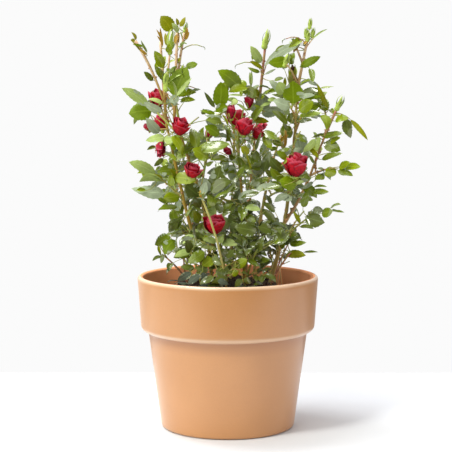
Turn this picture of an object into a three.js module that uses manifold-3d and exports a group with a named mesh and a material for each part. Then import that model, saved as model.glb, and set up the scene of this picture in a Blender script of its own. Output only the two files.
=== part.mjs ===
// A miniature rose bush in a terracotta pot. Canes rise from a root ball and lean apart,
// and each carries masses of foliage: a stem with side sprays, compound leaves, blooms and buds.
// Millimetres, +Z up, the origin at the middle of the pot's flat underside, -Y towards the viewer.
import * as THREE from "three";
import { mergeVertices } from "three/addons/utils/BufferGeometryUtils.js";
import Module from "manifold-3d";

const wasm = await Module();
wasm.setup();

// The pot: a tapering body under a tall collar
const POT_HEIGHT = 202;
const RIM_RADIUS = 120;
const MOUTH_RADIUS = 112.5;
const COLLAR_FOOT_RADIUS = 115.8;
const COLLAR_FOOT_Z = 128.6;
const BODY_TOP_RADIUS = 105.6;
const BASE_RADIUS = 89.2;
const INNER_BASE_RADIUS = 81;
const FLOOR_Z = 12;
const POT_SEGMENTS = 32;

// The compost: a level fill, with the root ball standing proud of it
const FILL_Z = 176;
const SOIL_Z = 193;
const ROOT_BALL_RADIUS = 67.5;
const SOIL_SEGMENTS = 20;

// Room between neighbouring solids
const GAP = 0.3;

// The rule of growth
const TURN = 144; // degrees from one leaf to the next up a stem: two turns for five leaves
const TURN_SCATTER = 50;
const LEAST_LIFT = 4; // degrees from square across the stem towards its tip
const LIFT_SCATTER = 34;
const LEAF_RISE = 0.25; // how far a leaf's heading is raised, so that none hangs straight down
const OUTWARD_LEAN = 0.9; // how much the blades look outwards, against 1 upwards
const VIEWER_FACE = [0, -0.9, 0.7]; // where the upper side of a leaf placed by name looks
const ARCH = 17; // degrees by which a leaf starts above the line from its root to its tip
const RACHIS_SHARE = 0.56; // of a compound leaf's length, and the end leaflet is the rest
const RACHIS_RADII = [0.65, 0.85];
const PAIRS = [
  { share: 0.9, length: 0.4 }, // shares of the rachis and of the leaf's length
  { share: 0.48, length: 0.35 },
];
const LEAFLET_SPREAD = 64; // degrees between the rachis and a side leaflet
const LEAFLET_DROOP = 0.14; // of a side leaflet's length
const LEAFLET_WIDTH = 0.6; // of its length
const LEAFLET_WIDEST = 0.48; // of the way to its tip
const KEEL_DEPTH = 0.07; // of a leaflet's length, from its edges down to its midrib

// Limbs: a stem's root and tip radius, and how many sides and lengths stand for its round
const STEM_RADII = [1.7, 1.2];
const SIDE_SPRAY_RADII = [1.36, 1.2];
const STEM_UPRIGHT = 0.16;
const STEM_SIDES = 3;
const STEM_LENGTHS = 3;
const CANE_SIDES = 6;
const CANE_LENGTHS = 5;
const UP = new THREE.Vector3(0, 0, 1);
const BACK = new THREE.Vector3(0, 1, 0);

// Canes. A foot stands on the root ball, or on another cane at a share of its length.
// Upright is how much of the way to the tip a cane rises before it leans: below 0 it leans first.
const CANES = [
  { name: "cane_left", foot: [-26, -4], tip: [-81, -14, 408], upright: -0.1, radii: [3.4, 1.8] },
  { name: "cane_left_inner", foot: [-8, -18], tip: [-70, -32, 412], upright: 0.14, radii: [3.1, 1.7] },
  { name: "cane_centre", foot: [22, -14], tip: [14, -24, 360], upright: 0.5, radii: [3, 1.7] },
  { name: "cane_slim", foot: [24, 14], tip: [41, 12, 425], upright: 0.3, radii: [2.4, 1.4] },
  { name: "cane_right", foot: [56, -4], tip: [91, 4, 446], upright: -0.42, radii: [3.6, 1.7] },
  { name: "cane_outer", on: "cane_right", at: 0.34, tip: [128, -20, 393], upright: -0.2, radii: [2.4, 1.5] },
  { name: "cane_back_left", foot: [-22, 26], tip: [-62, 60, 378], upright: 0.4, radii: [3, 1.6] },
  { name: "cane_back_centre", foot: [4, 34], tip: [8, 88, 348], upright: 0.4, radii: [2.8, 1.5] },
  { name: "cane_back_right", foot: [36, 28], tip: [76, 70, 392], upright: 0.4, radii: [3, 1.6] },
];

// Masses. Each is one stem, from a cane's tip or side or from the compost, with its side sprays.
// A leaf that is placed by name is [share of the stem, bearing, rise, length, leaflets], in degrees
// and millimetres, bearing 0 to the right, 90 to the back. The other leaves follow the rule.
const MASSES = [
  {
    name: "left_tips",
    on: "cane_left",
    at: 1,
    sprays: [
      {
        tip: [-88, -10, 510],
        leaves: 3,
        leaf: 46,
        placed: [
          [0.04, 187, 30, 78, 3],
          [0.5, 150, 50, 38, 3],
        ],
        end: "young",
        size: 25,
      },
      { from: 0.2, tip: [-120, -20, 511], leaves: 2, leaf: 34, end: "buds", size: 15 },
    ],
  },
  {
    name: "left_inner_tips",
    on: "cane_left_inner",
    at: 1,
    sprays: [
      {
        tip: [-65, -34, 521],
        leaves: 2,
        leaf: 42,
        placed: [
          [0.2, 330, 44, 66, 3],
          [0.1, 5, 8, 54, 3],
        ],
        end: "bud",
        size: 18,
      },
      {
        from: 0.15,
        tip: [-56, -24, 522],
        leaves: 1,
        leaf: 36,
        placed: [[0.72, 0, 22, 32, 1]],
        end: "bud",
        size: 20,
      },
      { from: 0.1, tip: [-84, -26, 448], leaves: 0, leaf: 30, end: "bud", size: 18 },
    ],
  },
  {
    name: "left_blooms",
    on: "cane_left",
    at: 0.86,
    sprays: [
      { tip: [-91, 14, 431], leaves: 2, leaf: 62, end: "bloom", size: 24 },
      { from: 0.2, tip: [-95, -18, 368], leaves: 0, leaf: 46, end: "opening", size: 21 },
      { from: 0.35, tip: [-107, 22, 394], leaves: 1, leaf: 62, end: "opening", size: 18 },
    ],
  },
  {
    name: "left_front_blooms",
    on: "cane_left_inner",
    at: 0.74,
    sprays: [
      {
        tip: [-67, -52, 396],
        leaves: 1,
        leaf: 66,
        placed: [[0.5, 195, 10, 72, 5]],
        end: "bloom",
        size: 28,
      },
      {
        from: 0.2,
        tip: [-46, -62, 342],
        leaves: 1,
        leaf: 60,
        placed: [[0.4, 205, -14, 66, 5]],
        end: "bloom",
        size: 26,
        face: [0.35, -0.6, 0.6],
      },
    ],
  },
  {
    name: "left_side",
    on: "cane_left",
    at: 0.5,
    sprays: [
      {
        tip: [-90, -26, 334],
        leaves: 1,
        leaf: 70,
        placed: [
          [0.2, 182, 28, 84, 5],
          [0.85, 190, -8, 62, 5],
          [0.7, 262, 16, 62, 5],
        ],
        end: "young",
        size: 24,
      },
      { from: 0.4, tip: [-84, 28, 344], leaves: 2, leaf: 72, end: "leaf", size: 26 },
    ],
  },
  {
    name: "low_left",
    foot: [-52, -2],
    sprays: [
      {
        tip: [-80, -14, 226],
        leaves: 0,
        leaf: 40,
        placed: [
          [0.96, 165, 50, 38, 3],
          [0.8, 235, 20, 42, 3],
        ],
        end: "leaf",
        size: 16,
      },
      { from: 0.25, tip: [-58, -30, 230], leaves: 2, leaf: 54, end: "leaf", size: 20 },
    ],
  },
  {
    name: "left_low",
    on: "cane_left",
    at: 0.26,
    sprays: [
      {
        tip: [-66, -30, 276],
        leaves: 2,
        leaf: 66,
        placed: [
          [0.6, 188, 24, 62, 5],
          [0.92, 262, 0, 56, 5],
        ],
        end: "leaf",
        size: 22,
      },
      { from: 0.3, tip: [-66, 28, 280], leaves: 3, leaf: 64, end: "leaf", size: 24 },
    ],
  },
  {
    name: "centre_left",
    on: "cane_left_inner",
    at: 0.52,
    sprays: [
      {
        tip: [-24, -38, 372],
        leaves: 1,
        leaf: 74,
        placed: [
          [0.6, 356, 24, 82, 5],
          [0.85, 150, 26, 76, 5],
          [0.3, 320, -4, 74, 5],
          [0.25, 250, -20, 62, 5],
        ],
        end: "leaf",
        size: 26,
      },
      { from: 0.45, tip: [-26, 2, 384], leaves: 2, leaf: 70, end: "opening", size: 18 },
    ],
  },
  {
    name: "centre_cluster",
    on: "cane_centre",
    at: 1,
    sprays: [
      {
        tip: [13, -44, 398],
        leaves: 0,
        leaf: 50,
        placed: [
          [0.2, 176, 28, 78, 5],
          [0.3, 6, 4, 66, 5],
          [0.1, 250, -14, 66, 5],
        ],
        end: "bloom",
        size: 30,
      },
      { from: 0.3, tip: [34, -28, 396], leaves: 0, leaf: 48, end: "bloom", size: 22 },
      { from: 0.35, tip: [-2, -34, 420], leaves: 0, leaf: 40, end: "opening", size: 20 },
      { from: 0.3, tip: [21, -8, 426], leaves: 1, leaf: 50, end: "opening", size: 20 },
      {
        from: 0.25,
        tip: [-6, -12, 402],
        leaves: 1,
        leaf: 60,
        placed: [[0.8, 240, 66, 66, 3]],
        end: "opening",
        size: 17,
      },
    ],
  },
  {
    name: "centre_middle",
    on: "cane_centre",
    at: 0.5,
    sprays: [
      {
        tip: [-12, -46, 312],
        leaves: 2,
        leaf: 74,
        placed: [
          [0.9, 215, 10, 74, 5],
          [0.6, 330, -12, 72, 5],
        ],
        end: "leaf",
        size: 26,
      },
      { from: 0.2, tip: [40, -42, 334], leaves: 4, leaf: 74, end: "leaf", size: 26 },
    ],
  },
  {
    name: "centre_low",
    on: "cane_centre",
    at: 0.16,
    sprays: [
      { tip: [26, -52, 276], leaves: 4, leaf: 68, end: "leaf", size: 24 },
      { from: 0.4, tip: [48, -28, 266], leaves: 2, leaf: 62, end: "leaf", size: 22 },
    ],
  },
  {
    name: "slim_tips",
    on: "cane_slim",
    at: 1,
    sprays: [
      {
        tip: [49, 6, 502],
        leaves: 1,
        leaf: 48,
        placed: [
          [0.6, 172, 40, 42, 3],
          [0.52, 350, 24, 62, 3],
          [0.3, 180, 0, 40, 3],
        ],
        end: "bud",
        size: 28,
      },
      {
        from: 0.08,
        tip: [19, -6, 450],
        leaves: 1,
        leaf: 60,
        placed: [[0.7, 190, 14, 60, 3]],
        end: "bud",
        size: 20,
      },
    ],
  },
  {
    name: "slim_side",
    on: "cane_slim",
    at: 0.66,
    sprays: [
      { tip: [48, -24, 366], leaves: 3, leaf: 70, end: "leaf", size: 26 },
      { from: 0.4, tip: [30, 24, 390], leaves: 2, leaf: 70, end: "leaf", size: 26 },
    ],
  },
  {
    name: "right_tips",
    on: "cane_right",
    at: 1,
    sprays: [
      {
        tip: [106, 0, 522],
        leaves: 0,
        leaf: 40,
        placed: [
          [0.36, 356, 14, 50, 1],
          [0.72, 172, 30, 32, 1],
          [0.78, 8, 40, 38, 1],
          [0.3, 196, 34, 60, 3],
          [0.12, 345, -20, 62, 3],
        ],
        end: "buds",
        size: 20,
      },
      { from: 0.12, tip: [77, -20, 480], leaves: 1, leaf: 46, end: "bud", size: 22 },
      { from: 0.18, tip: [87, 10, 466], leaves: 0, leaf: 40, end: "bud", size: 24 },
    ],
  },
  {
    name: "right_upper",
    on: "cane_right",
    at: 0.8,
    sprays: [
      {
        tip: [112, -12, 440],
        leaves: 1,
        leaf: 66,
        placed: [
          [0.75, 2, 2, 62, 5],
          [0.5, 335, -10, 68, 5],
          [0.95, 20, 44, 48, 3],
        ],
        end: "leaf",
        size: 24,
      },
      {
        from: 0.15,
        tip: [82, -34, 424],
        leaves: 1,
        leaf: 62,
        placed: [[0.7, 262, 72, 60, 3]],
        end: "leaf",
        size: 22,
      },
    ],
  },
  {
    name: "right_inner",
    on: "cane_right",
    at: 0.6,
    sprays: [
      {
        tip: [66, -26, 386],
        leaves: 2,
        leaf: 72,
        placed: [[0.8, 200, 0, 70, 5]],
        end: "leaf",
        size: 26,
      },
      { from: 0.3, tip: [94, -32, 394], leaves: 2, leaf: 68, end: "leaf", size: 24 },
    ],
  },
  {
    name: "right_bloom",
    on: "cane_right",
    at: 0.46,
    sprays: [
      {
        tip: [90, -52, 334],
        leaves: 1,
        leaf: 70,
        placed: [
          [0.25, 236, 4, 72, 5],
          [0.3, 300, -26, 64, 5],
        ],
        end: "bloom",
        size: 34,
        face: [0.06, -0.22, 1],
      },
    ],
  },
  {
    name: "outer_tips",
    on: "cane_outer",
    at: 1,
    sprays: [
      {
        tip: [147, -16, 420],
        leaves: 0,
        leaf: 40,
        placed: [
          [0.05, 2, -6, 62, 3],
          [0.4, 130, 46, 50, 3],
        ],
        end: "bud",
        size: 20,
      },
      { from: 0.2, tip: [128, -2, 420], leaves: 1, leaf: 50, end: "leaf", size: 26 },
    ],
  },
  {
    name: "outer_side",
    on: "cane_outer",
    at: 0.55,
    sprays: [
      {
        tip: [134, -28, 346],
        leaves: 0,
        leaf: 50,
        placed: [
          [0.4, 350, 0, 62, 5],
          [0.9, 20, 26, 52, 5],
          [0.5, 250, 10, 56, 5],
        ],
        end: "leaf",
        size: 26,
      },
      { from: 0.3, tip: [118, 14, 366], leaves: 2, leaf: 62, end: "leaf", size: 24 },
    ],
  },
  {
    name: "outer_low",
    on: "cane_right",
    at: 0.22,
    sprays: [
      {
        tip: [108, -34, 284],
        leaves: 1,
        leaf: 60,
        placed: [
          [0.8, 356, 20, 66, 5],
          [0.4, 345, -20, 62, 5],
          [0.5, 245, -10, 62, 5],
        ],
        end: "leaf",
        size: 22,
      },
      { from: 0.35, tip: [102, 16, 286], leaves: 2, leaf: 66, end: "leaf", size: 24 },
    ],
  },
  {
    name: "back_left_tips",
    on: "cane_back_left",
    at: 1,
    sprays: [
      { tip: [-74, 70, 446], leaves: 3, leaf: 70, end: "bud", size: 24 },
      { from: 0.2, tip: [-90, 80, 412], leaves: 1, leaf: 64, end: "bloom", size: 28 },
      { from: 0.15, tip: [-40, 84, 410], leaves: 1, leaf: 66, end: "leaf", size: 26 },
    ],
  },
  {
    name: "back_left_side",
    on: "cane_back_left",
    at: 0.56,
    sprays: [
      { tip: [-76, 70, 322], leaves: 3, leaf: 70, end: "leaf", size: 26 },
      { from: 0.3, tip: [-40, 84, 328], leaves: 2, leaf: 72, end: "opening", size: 20 },
    ],
  },
  {
    name: "back_centre_tips",
    on: "cane_back_centre",
    at: 1,
    sprays: [
      { tip: [10, 96, 398], leaves: 3, leaf: 66, end: "bloom", size: 28 },
      { from: 0.2, tip: [38, 84, 390], leaves: 2, leaf: 66, end: "opening", size: 20 },
    ],
  },
  {
    name: "back_centre_side",
    on: "cane_back_centre",
    at: 0.5,
    sprays: [
      { tip: [10, 84, 306], leaves: 3, leaf: 70, end: "leaf", size: 26 },
      { from: 0.3, tip: [-22, 60, 304], leaves: 2, leaf: 66, end: "leaf", size: 24 },
    ],
  },
  {
    name: "back_right_tips",
    on: "cane_back_right",
    at: 1,
    sprays: [
      { tip: [88, 80, 460], leaves: 3, leaf: 62, end: "bud", size: 20 },
      { from: 0.15, tip: [108, 76, 424], leaves: 2, leaf: 64, end: "bloom", size: 28 },
    ],
  },
  {
    name: "back_right_side",
    on: "cane_back_right",
    at: 0.5,
    sprays: [
      { tip: [96, 62, 322], leaves: 3, leaf: 72, end: "leaf", size: 26 },
      { from: 0.3, tip: [50, 84, 320], leaves: 2, leaf: 68, end: "leaf", size: 24 },
    ],
  },
  {
    name: "low_front_left",
    foot: [-34, -34],
    sprays: [
      { tip: [-48, -56, 240], leaves: 4, leaf: 58, end: "leaf", size: 22 },
      { from: 0.4, tip: [-18, -60, 246], leaves: 3, leaf: 54, end: "leaf", size: 22 },
    ],
  },
  {
    name: "low_front",
    foot: [0, 0],
    sprays: [
      {
        tip: [-13, -30, 250],
        leaves: 2,
        leaf: 54,
        placed: [
          [0.98, 186, 0, 50, 3],
          [0.9, 352, 4, 48, 3],
          [0.5, 250, 0, 46, 5],
          [0.35, 300, 10, 44, 5],
        ],
        end: "leaf",
        size: 24,
      },
      {
        from: 0.6,
        tip: [-12, -50, 260],
        leaves: 1,
        leaf: 54,
        end: "bloom",
        size: 28,
        face: [-0.1, -0.3, 1],
      },
    ],
  },
  {
    name: "low_front_right",
    foot: [22, -36],
    sprays: [
      { tip: [38, -60, 244], leaves: 4, leaf: 58, end: "leaf", size: 22 },
      { from: 0.4, tip: [10, -62, 228], leaves: 2, leaf: 50, end: "leaf", size: 20 },
    ],
  },
  {
    name: "low_right",
    foot: [56, -22],
    sprays: [
      {
        tip: [82, -34, 236],
        leaves: 1,
        leaf: 54,
        placed: [
          [0.9, 0, 0, 48, 3],
          [0.5, 4, -6, 52, 3],
        ],
        end: "leaf",
        size: 18,
      },
      { from: 0.3, tip: [82, -8, 248], leaves: 2, leaf: 56, end: "leaf", size: 20 },
    ],
  },
  {
    name: "low_back_right",
    foot: [52, 30],
    sprays: [
      { tip: [80, 52, 242], leaves: 4, leaf: 60, end: "leaf", size: 22 },
      { from: 0.4, tip: [48, 66, 256], leaves: 1, leaf: 56, end: "leaf", size: 20 },
    ],
  },
  {
    name: "low_back",
    foot: [4, 56],
    sprays: [
      { tip: [12, 88, 240], leaves: 4, leaf: 60, end: "leaf", size: 22 },
      { from: 0.4, tip: [-20, 78, 258], leaves: 2, leaf: 56, end: "leaf", size: 20 },
    ],
  },
  {
    name: "low_back_left",
    foot: [-46, 34],
    sprays: [
      { tip: [-74, 50, 240], leaves: 4, leaf: 60, end: "leaf", size: 22 },
      { from: 0.4, tip: [-46, 64, 256], leaves: 1, leaf: 56, end: "leaf", size: 20 },
    ],
  },
];

const radians = THREE.MathUtils.degToRad;
const vector = (xyz) => new THREE.Vector3(...xyz);

// The same stream of draws from 0 to 1 for a seed, every time.
function seeded(seed) {
  let state = Math.imul(seed, 2654435761) >>> 0;
  return () => {
    state = (Math.imul(state, 1664525) + 1013904223) >>> 0;
    return state / 4294967296;
  };
}

// A solid from corner points and triangles of their numbers.
function solidOf(points, triangles) {
  return new wasm.Manifold(
    new wasm.Mesh({
      numProp: 3,
      vertProperties: new Float32Array(points.flatMap((p) => [p.x, p.y, p.z])),
      triVerts: new Uint32Array(triangles.flat()),
    }),
  );
}

// A solid from one of the library's closed geometries.
function solidOfGeometry(geometry) {
  geometry.deleteAttribute("normal");
  geometry.deleteAttribute("uv");
  const merged = mergeVertices(geometry, 1e-4);
  const index = merged.index.array;
  const corners = [];
  for (let i = 0; i < index.length; i += 3) {
    const [a, b, c] = index.slice(i, i + 3);
    if (a !== b && b !== c && a !== c) corners.push(a, b, c);
  }
  return new wasm.Manifold(
    new wasm.Mesh({
      numProp: 3,
      vertProperties: new Float32Array(merged.attributes.position.array),
      triVerts: new Uint32Array(corners),
    }),
  );
}

// A profile of [radius, height] turned about the Z axis.
function turned(profile, segments) {
  const points = profile.map(([radius, height]) => new THREE.Vector2(radius, height));
  return solidOfGeometry(new THREE.LatheGeometry(points, segments).rotateX(Math.PI / 2));
}

// The point, the heading and two directions across it at a share of a curve.
function frameAt(curve, share) {
  const heading = curve.getTangent(share);
  const right = BACK.clone().cross(heading).normalize();
  return { point: curve.getPoint(share), heading, right, back: heading.clone().cross(right) };
}

const withGap = (radii) => radii.map((radius) => radius + GAP);

// A tapering limb with flat ends.
function limb(curve, [rootRadius, tipRadius], sides, lengths) {
  const points = [];
  const triangles = [];
  for (let i = 0; i <= lengths; i += 1) {
    const { point, right, back } = frameAt(curve, i / lengths);
    const radius = THREE.MathUtils.lerp(rootRadius, tipRadius, i / lengths);
    for (let j = 0; j < sides; j += 1) {
      const angle = (2 * Math.PI * j) / sides;
      points.push(
        point
          .clone()
          .addScaledVector(right, radius * Math.cos(angle))
          .addScaledVector(back, radius * Math.sin(angle)),
      );
    }
  }
  for (let i = 0; i < lengths; i += 1)
    for (let j = 0; j < sides; j += 1) {
      const a = i * sides + j;
      const b = i * sides + ((j + 1) % sides);
      triangles.push([a, b, b + sides], [a, b + sides, a + sides]);
    }
  for (let j = 1; j < sides - 1; j += 1) {
    const top = lengths * sides;
    triangles.push([0, j + 1, j], [top, top + j, top + j + 1]);
  }
  return solidOf(points, triangles);
}

// A curve from a foot to a tip that leaves the foot steeper than the straight line, by upright.
function bend(foot, tip, upright) {
  const middle = foot.clone().lerp(tip, 0.5);
  middle.addScaledVector(tip.clone().sub(foot).setZ(0), -upright);
  middle.addScaledVector(UP, 0.15 * upright * foot.distanceTo(tip));
  return new THREE.QuadraticBezierCurve3(foot, middle, tip);
}

// One leaflet: a kite-shaped blade folded along its midrib, which is a keel below.
// Swell widens it all round for testing the room that it needs.
function leaflet(base, heading, normal, length, swell) {
  const side = heading.clone().cross(normal).normalize();
  const half = (length * LEAFLET_WIDTH) / 2 + swell;
  const at = (along, across, up) =>
    base
      .clone()
      .addScaledVector(heading, along * length)
      .addScaledVector(side, across)
      .addScaledVector(normal, up);
  const points = [
    at(0, 0, -swell),
    at(1, 0, -swell),
    at(LEAFLET_WIDEST, half, length * KEEL_DEPTH + swell),
    at(LEAFLET_WIDEST, -half, length * KEEL_DEPTH + swell),
  ];
  const triangles = [
    [0, 1, 2],
    [1, 0, 3],
    [0, 2, 3],
    [1, 3, 2],
  ];
  return solidOf(points, triangles);
}

// A compound leaf: a straight rachis, one end leaflet and pairs of side leaflets, arched so that
// its tip lies along the heading from its root. The face is the way that its upper side looks.
// It gives the rachis first and then its leaflets, each with the room that it needs.
function compoundLeaf({ root, heading, face, length, leaflets }) {
  const side = heading.clone().cross(face).normalize();
  const rise = heading.clone().applyAxisAngle(side, radians(ARCH));
  const end = root.clone().addScaledVector(rise, length * RACHIS_SHARE);
  const rachis = new THREE.LineCurve3(root, end);
  const pieces = [
    {
      solid: limb(rachis, RACHIS_RADII, STEM_SIDES, 1),
      room: limb(rachis, withGap(RACHIS_RADII), STEM_SIDES, 1),
    },
  ];
  const normal = side.clone().cross(rise).normalize();
  const blade = (base, way, size) => {
    const across = way.clone().cross(normal).normalize();
    const up = across.cross(way).normalize();
    const solid = leaflet(base, way, up, size, 0);
    pieces.push({ solid, room: solid.add(leaflet(base, way, up, size, GAP)) });
  };
  const tip = root.clone().addScaledVector(heading, length);
  blade(rachis.getPoint(0.99), tip.clone().sub(end).normalize(), tip.distanceTo(end));
  for (const pair of PAIRS.slice(0, (leaflets - 1) / 2))
    for (const turn of [LEAFLET_SPREAD, -LEAFLET_SPREAD]) {
      const way = rise.clone().applyAxisAngle(normal, radians(turn));
      way.addScaledVector(normal, -LEAFLET_DROOP).normalize();
      blade(rachis.getPoint(pair.share), way, length * pair.length);
    }
  return pieces;
}

// Profiles of a flower of size 1, from below its base to its top, as [radius, height]
const BLOOM_PROFILE = [
  [0, -0.12],
  [0.26, 0.02],
  [0.5, 0.34],
  [0.47, 0.72],
  [0.28, 0.7],
  [0, 0.84],
];
const OPENING_PROFILE = [
  [0, -0.15],
  [0.2, 0],
  [0.33, 0.4],
  [0.22, 0.92],
  [0, 1],
];
const BUD_PROFILE = [
  [0, -0.1],
  [0.14, 0.02],
  [0.2, 0.28],
  [0, 1],
];

// A flower: its profile turned about a heading.
function flower(profile, root, heading, size, sides) {
  const shape = profile.map(([radius, height]) => [radius * size, height * size]);
  const turn = new THREE.Quaternion().setFromUnitVectors(UP, heading.clone().normalize());
  const matrix = new THREE.Matrix4().compose(root, turn, new THREE.Vector3(1, 1, 1));
  return turned(shape, sides).transform(matrix.elements);
}

// What a spray ends in, as a list of solids.
function sprayEnd(spray, curve) {
  const { point, heading } = frameAt(curve, 1);
  const way = spray.face ? vector(spray.face).normalize() : heading;
  if (spray.end === "bloom") return [flower(BLOOM_PROFILE, point, way, spray.size, 8)];
  if (spray.end === "opening") return [flower(OPENING_PROFILE, point, way, spray.size, 6)];
  if (spray.end === "bud") return [flower(BUD_PROFILE, point, way, spray.size, 6)];
  if (spray.end === "buds") {
    const lean = [-0.35, 0, 0.32];
    return lean.map((x, i) => {
      const aside = way.clone().add(new THREE.Vector3(x, 0.2 * (i - 1), 0)).normalize();
      return flower(BUD_PROFILE, point, aside, spray.size, 5);
    });
  }
  const blades = spray.end === "young" ? [0, -0.7, 0.7] : [0];
  return blades.map((x, i) => {
    const aside = way.clone().add(new THREE.Vector3(x, -0.3 * i, 0)).normalize();
    const across = aside.clone().cross(new THREE.Vector3(0.1, -1, 0.6)).normalize();
    const up = across.cross(aside).normalize();
    const base = point.clone().addScaledVector(heading, -1 - 5 * i);
    return leaflet(base, aside, up, spray.size * (1 - 0.1 * i), 0);
  });
}

// Room that is already taken: solids with their boxes, and the mass whose stems they are.
const taken = [];

function take(solid, stemsOf) {
  taken.push({ solid, box: solid.boundingBox(), stemsOf });
}

// True where a piece has room. A rachis may touch the stems of its own mass, which it grows from.
function isClear(room, ownStems) {
  const box = room.boundingBox();
  return taken.every((other) => {
    if (ownStems && other.stemsOf === ownStems) return true;
    const apart = [0, 1, 2].some(
      (k) => box.min[k] > other.box.max[k] || box.max[k] < other.box.min[k],
    );
    return apart || room.intersect(other.solid).volume() < 1e-6;
  });
}

// A limb from the compost starts a little inside it and is cut off level just above it.
const inSoil = ([x, y]) => new THREE.Vector3(x, y, SOIL_Z - 3);
const aboveSoil = (solid) => solid.trimByPlane([0, 0, 1], SOIL_Z + GAP);

// The largest closed skin of a solid: loose scraps go, and a sealed hollow is filled.
function whole(solid) {
  return solid.decompose().sort((a, b) => b.volume() - a.volume())[0];
}

// One compound leaf, kept only where nothing else is in its way.
function addLeaf(mass, leaf) {
  const [rachis, ...blades] = compoundLeaf(leaf);
  if (!isClear(rachis.room, mass.name)) return;
  const clear = blades.filter((blade) => isClear(blade.room));
  if (!clear.length) return;
  const solids = [rachis, ...clear].map((piece) => piece.solid);
  solids.forEach((solid) => take(solid));
  mass.solids.push(...solids);
}

// A unit heading from its bearing and its rise in degrees.
function headingOf(bearing, rise) {
  const level = Math.cos(radians(rise));
  return new THREE.Vector3(
    level * Math.cos(radians(bearing)),
    level * Math.sin(radians(bearing)),
    Math.sin(radians(rise)),
  );
}

// The leaves of one spray: those that are placed by name, then those of the rule.
// The blades look up and outwards, with some scatter.
function addLeaves(mass, spray, curve) {
  const { random } = mass;
  for (const [share, bearing, rise, length, leaflets] of spray.placed ?? []) {
    const root = curve.getPoint(share);
    const face = vector(VIEWER_FACE).setX(0.6 * (random() - 0.5));
    addLeaf(mass, { root, heading: headingOf(bearing, rise), face, length, leaflets });
  }
  const start = random() * 360;
  for (let k = 0; k < spray.leaves; k += 1) {
    const share = 0.2 + (0.75 * (k + 0.5)) / spray.leaves;
    const { point, heading: along, right, back } = frameAt(curve, share);
    const turn = radians(start + k * TURN + (random() - 0.5) * TURN_SCATTER);
    const lift = radians(LEAST_LIFT + LIFT_SCATTER * random());
    const heading = along
      .clone()
      .multiplyScalar(Math.sin(lift))
      .addScaledVector(right, Math.cos(lift) * Math.cos(turn))
      .addScaledVector(back, Math.cos(lift) * Math.sin(turn))
      .addScaledVector(UP, LEAF_RISE)
      .normalize();
    const outwards = point.clone().setZ(0).normalize();
    const scatter = new THREE.Vector3(random() - 0.5, random() - 0.5, random() - 0.5);
    const face = UP.clone().addScaledVector(outwards, OUTWARD_LEAN).add(scatter);
    const length = spray.leaf * (0.85 + 0.3 * random());
    const leaflets = random() < 0.4 ? 3 : 5;
    addLeaf(mass, { root: point, heading, face, length, leaflets });
  }
}

// The stem and the side sprays of a mass, with what they end in.
function raiseStems(plan, seed, canes) {
  const cane = plan.on ? canes.get(plan.on) : null;
  const root = cane ? cane.curve.getPoint(plan.at) : inSoil(plan.foot);
  if (plan.at === 1) root.addScaledVector(cane.curve.getTangent(1), GAP);
  const mass = { ...plan, cane, random: seeded(seed), curves: [], solids: [] };
  for (const spray of plan.sprays) {
    const stem = mass.curves[0];
    const foot = stem ? stem.getPoint(spray.from) : root;
    const curve = bend(foot, vector(spray.tip), !stem && plan.at === 1 ? 0 : STEM_UPRIGHT);
    const radii = stem ? SIDE_SPRAY_RADII : STEM_RADII;
    mass.solids.push(limb(curve, radii, STEM_SIDES, STEM_LENGTHS), ...sprayEnd(spray, curve));
    mass.curves.push(curve);
  }
  mass.solids.forEach((solid) => take(solid, plan.name));
  return mass;
}

// The finished mass: leaves added, all fused into one solid, and cut clear of its cane or the soil.
function finishMass(mass) {
  mass.sprays.forEach((spray, i) => addLeaves(mass, spray, mass.curves[i]));
  const fused = wasm.Manifold.union(mass.solids);
  return whole(mass.cane ? fused.subtract(mass.cane.room) : aboveSoil(fused));
}

const materials = {
  terracotta: new THREE.MeshStandardMaterial({ color: "#d99a6c", roughness: 0.75 }),
  compost: new THREE.MeshStandardMaterial({ color: "#3a2c22", roughness: 0.95 }),
  bark: new THREE.MeshStandardMaterial({ color: "#8a7a4a", roughness: 0.6 }),
  foliage: new THREE.MeshStandardMaterial({ color: "#5f8a2e", roughness: 0.45 }),
};

const bush = new THREE.Group();

// Adds a solid to the model as a named mesh.
function addMesh(name, solid, material) {
  const mesh = solid.getMesh();
  const geometry = new THREE.BufferGeometry();
  geometry.setAttribute("position", new THREE.BufferAttribute(mesh.vertProperties, 3));
  geometry.setIndex(new THREE.BufferAttribute(mesh.triVerts, 1));
  geometry.computeVertexNormals();
  const added = new THREE.Mesh(geometry, material);
  added.name = name;
  bush.add(added);
}

// The pot, from the middle of its underside up the outside, over the rim and down to its floor.
const pot = turned(
  [
    [0, 0],
    [BASE_RADIUS - 4, 0],
    [BASE_RADIUS - 1, 1.4],
    [BASE_RADIUS, 4.5],
    [BODY_TOP_RADIUS, COLLAR_FOOT_Z - 2.6],
    [BODY_TOP_RADIUS + 1, COLLAR_FOOT_Z],
    [COLLAR_FOOT_RADIUS - 4.5, COLLAR_FOOT_Z + 1],
    [COLLAR_FOOT_RADIUS - 1.2, COLLAR_FOOT_Z + 4],
    [COLLAR_FOOT_RADIUS, COLLAR_FOOT_Z + 8.5],
    [RIM_RADIUS, POT_HEIGHT - 4],
    [RIM_RADIUS - 1.4, POT_HEIGHT - 1],
    [(RIM_RADIUS + MOUTH_RADIUS) / 2, POT_HEIGHT],
    [MOUTH_RADIUS + 1.4, POT_HEIGHT - 1],
    [MOUTH_RADIUS, POT_HEIGHT - 4],
    [INNER_BASE_RADIUS, FLOOR_Z + 5],
    [INNER_BASE_RADIUS - 5, FLOOR_Z],
    [0, FLOOR_Z],
  ],
  POT_SEGMENTS,
);
take(pot);
addMesh("pot", pot, materials.terracotta);

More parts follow.
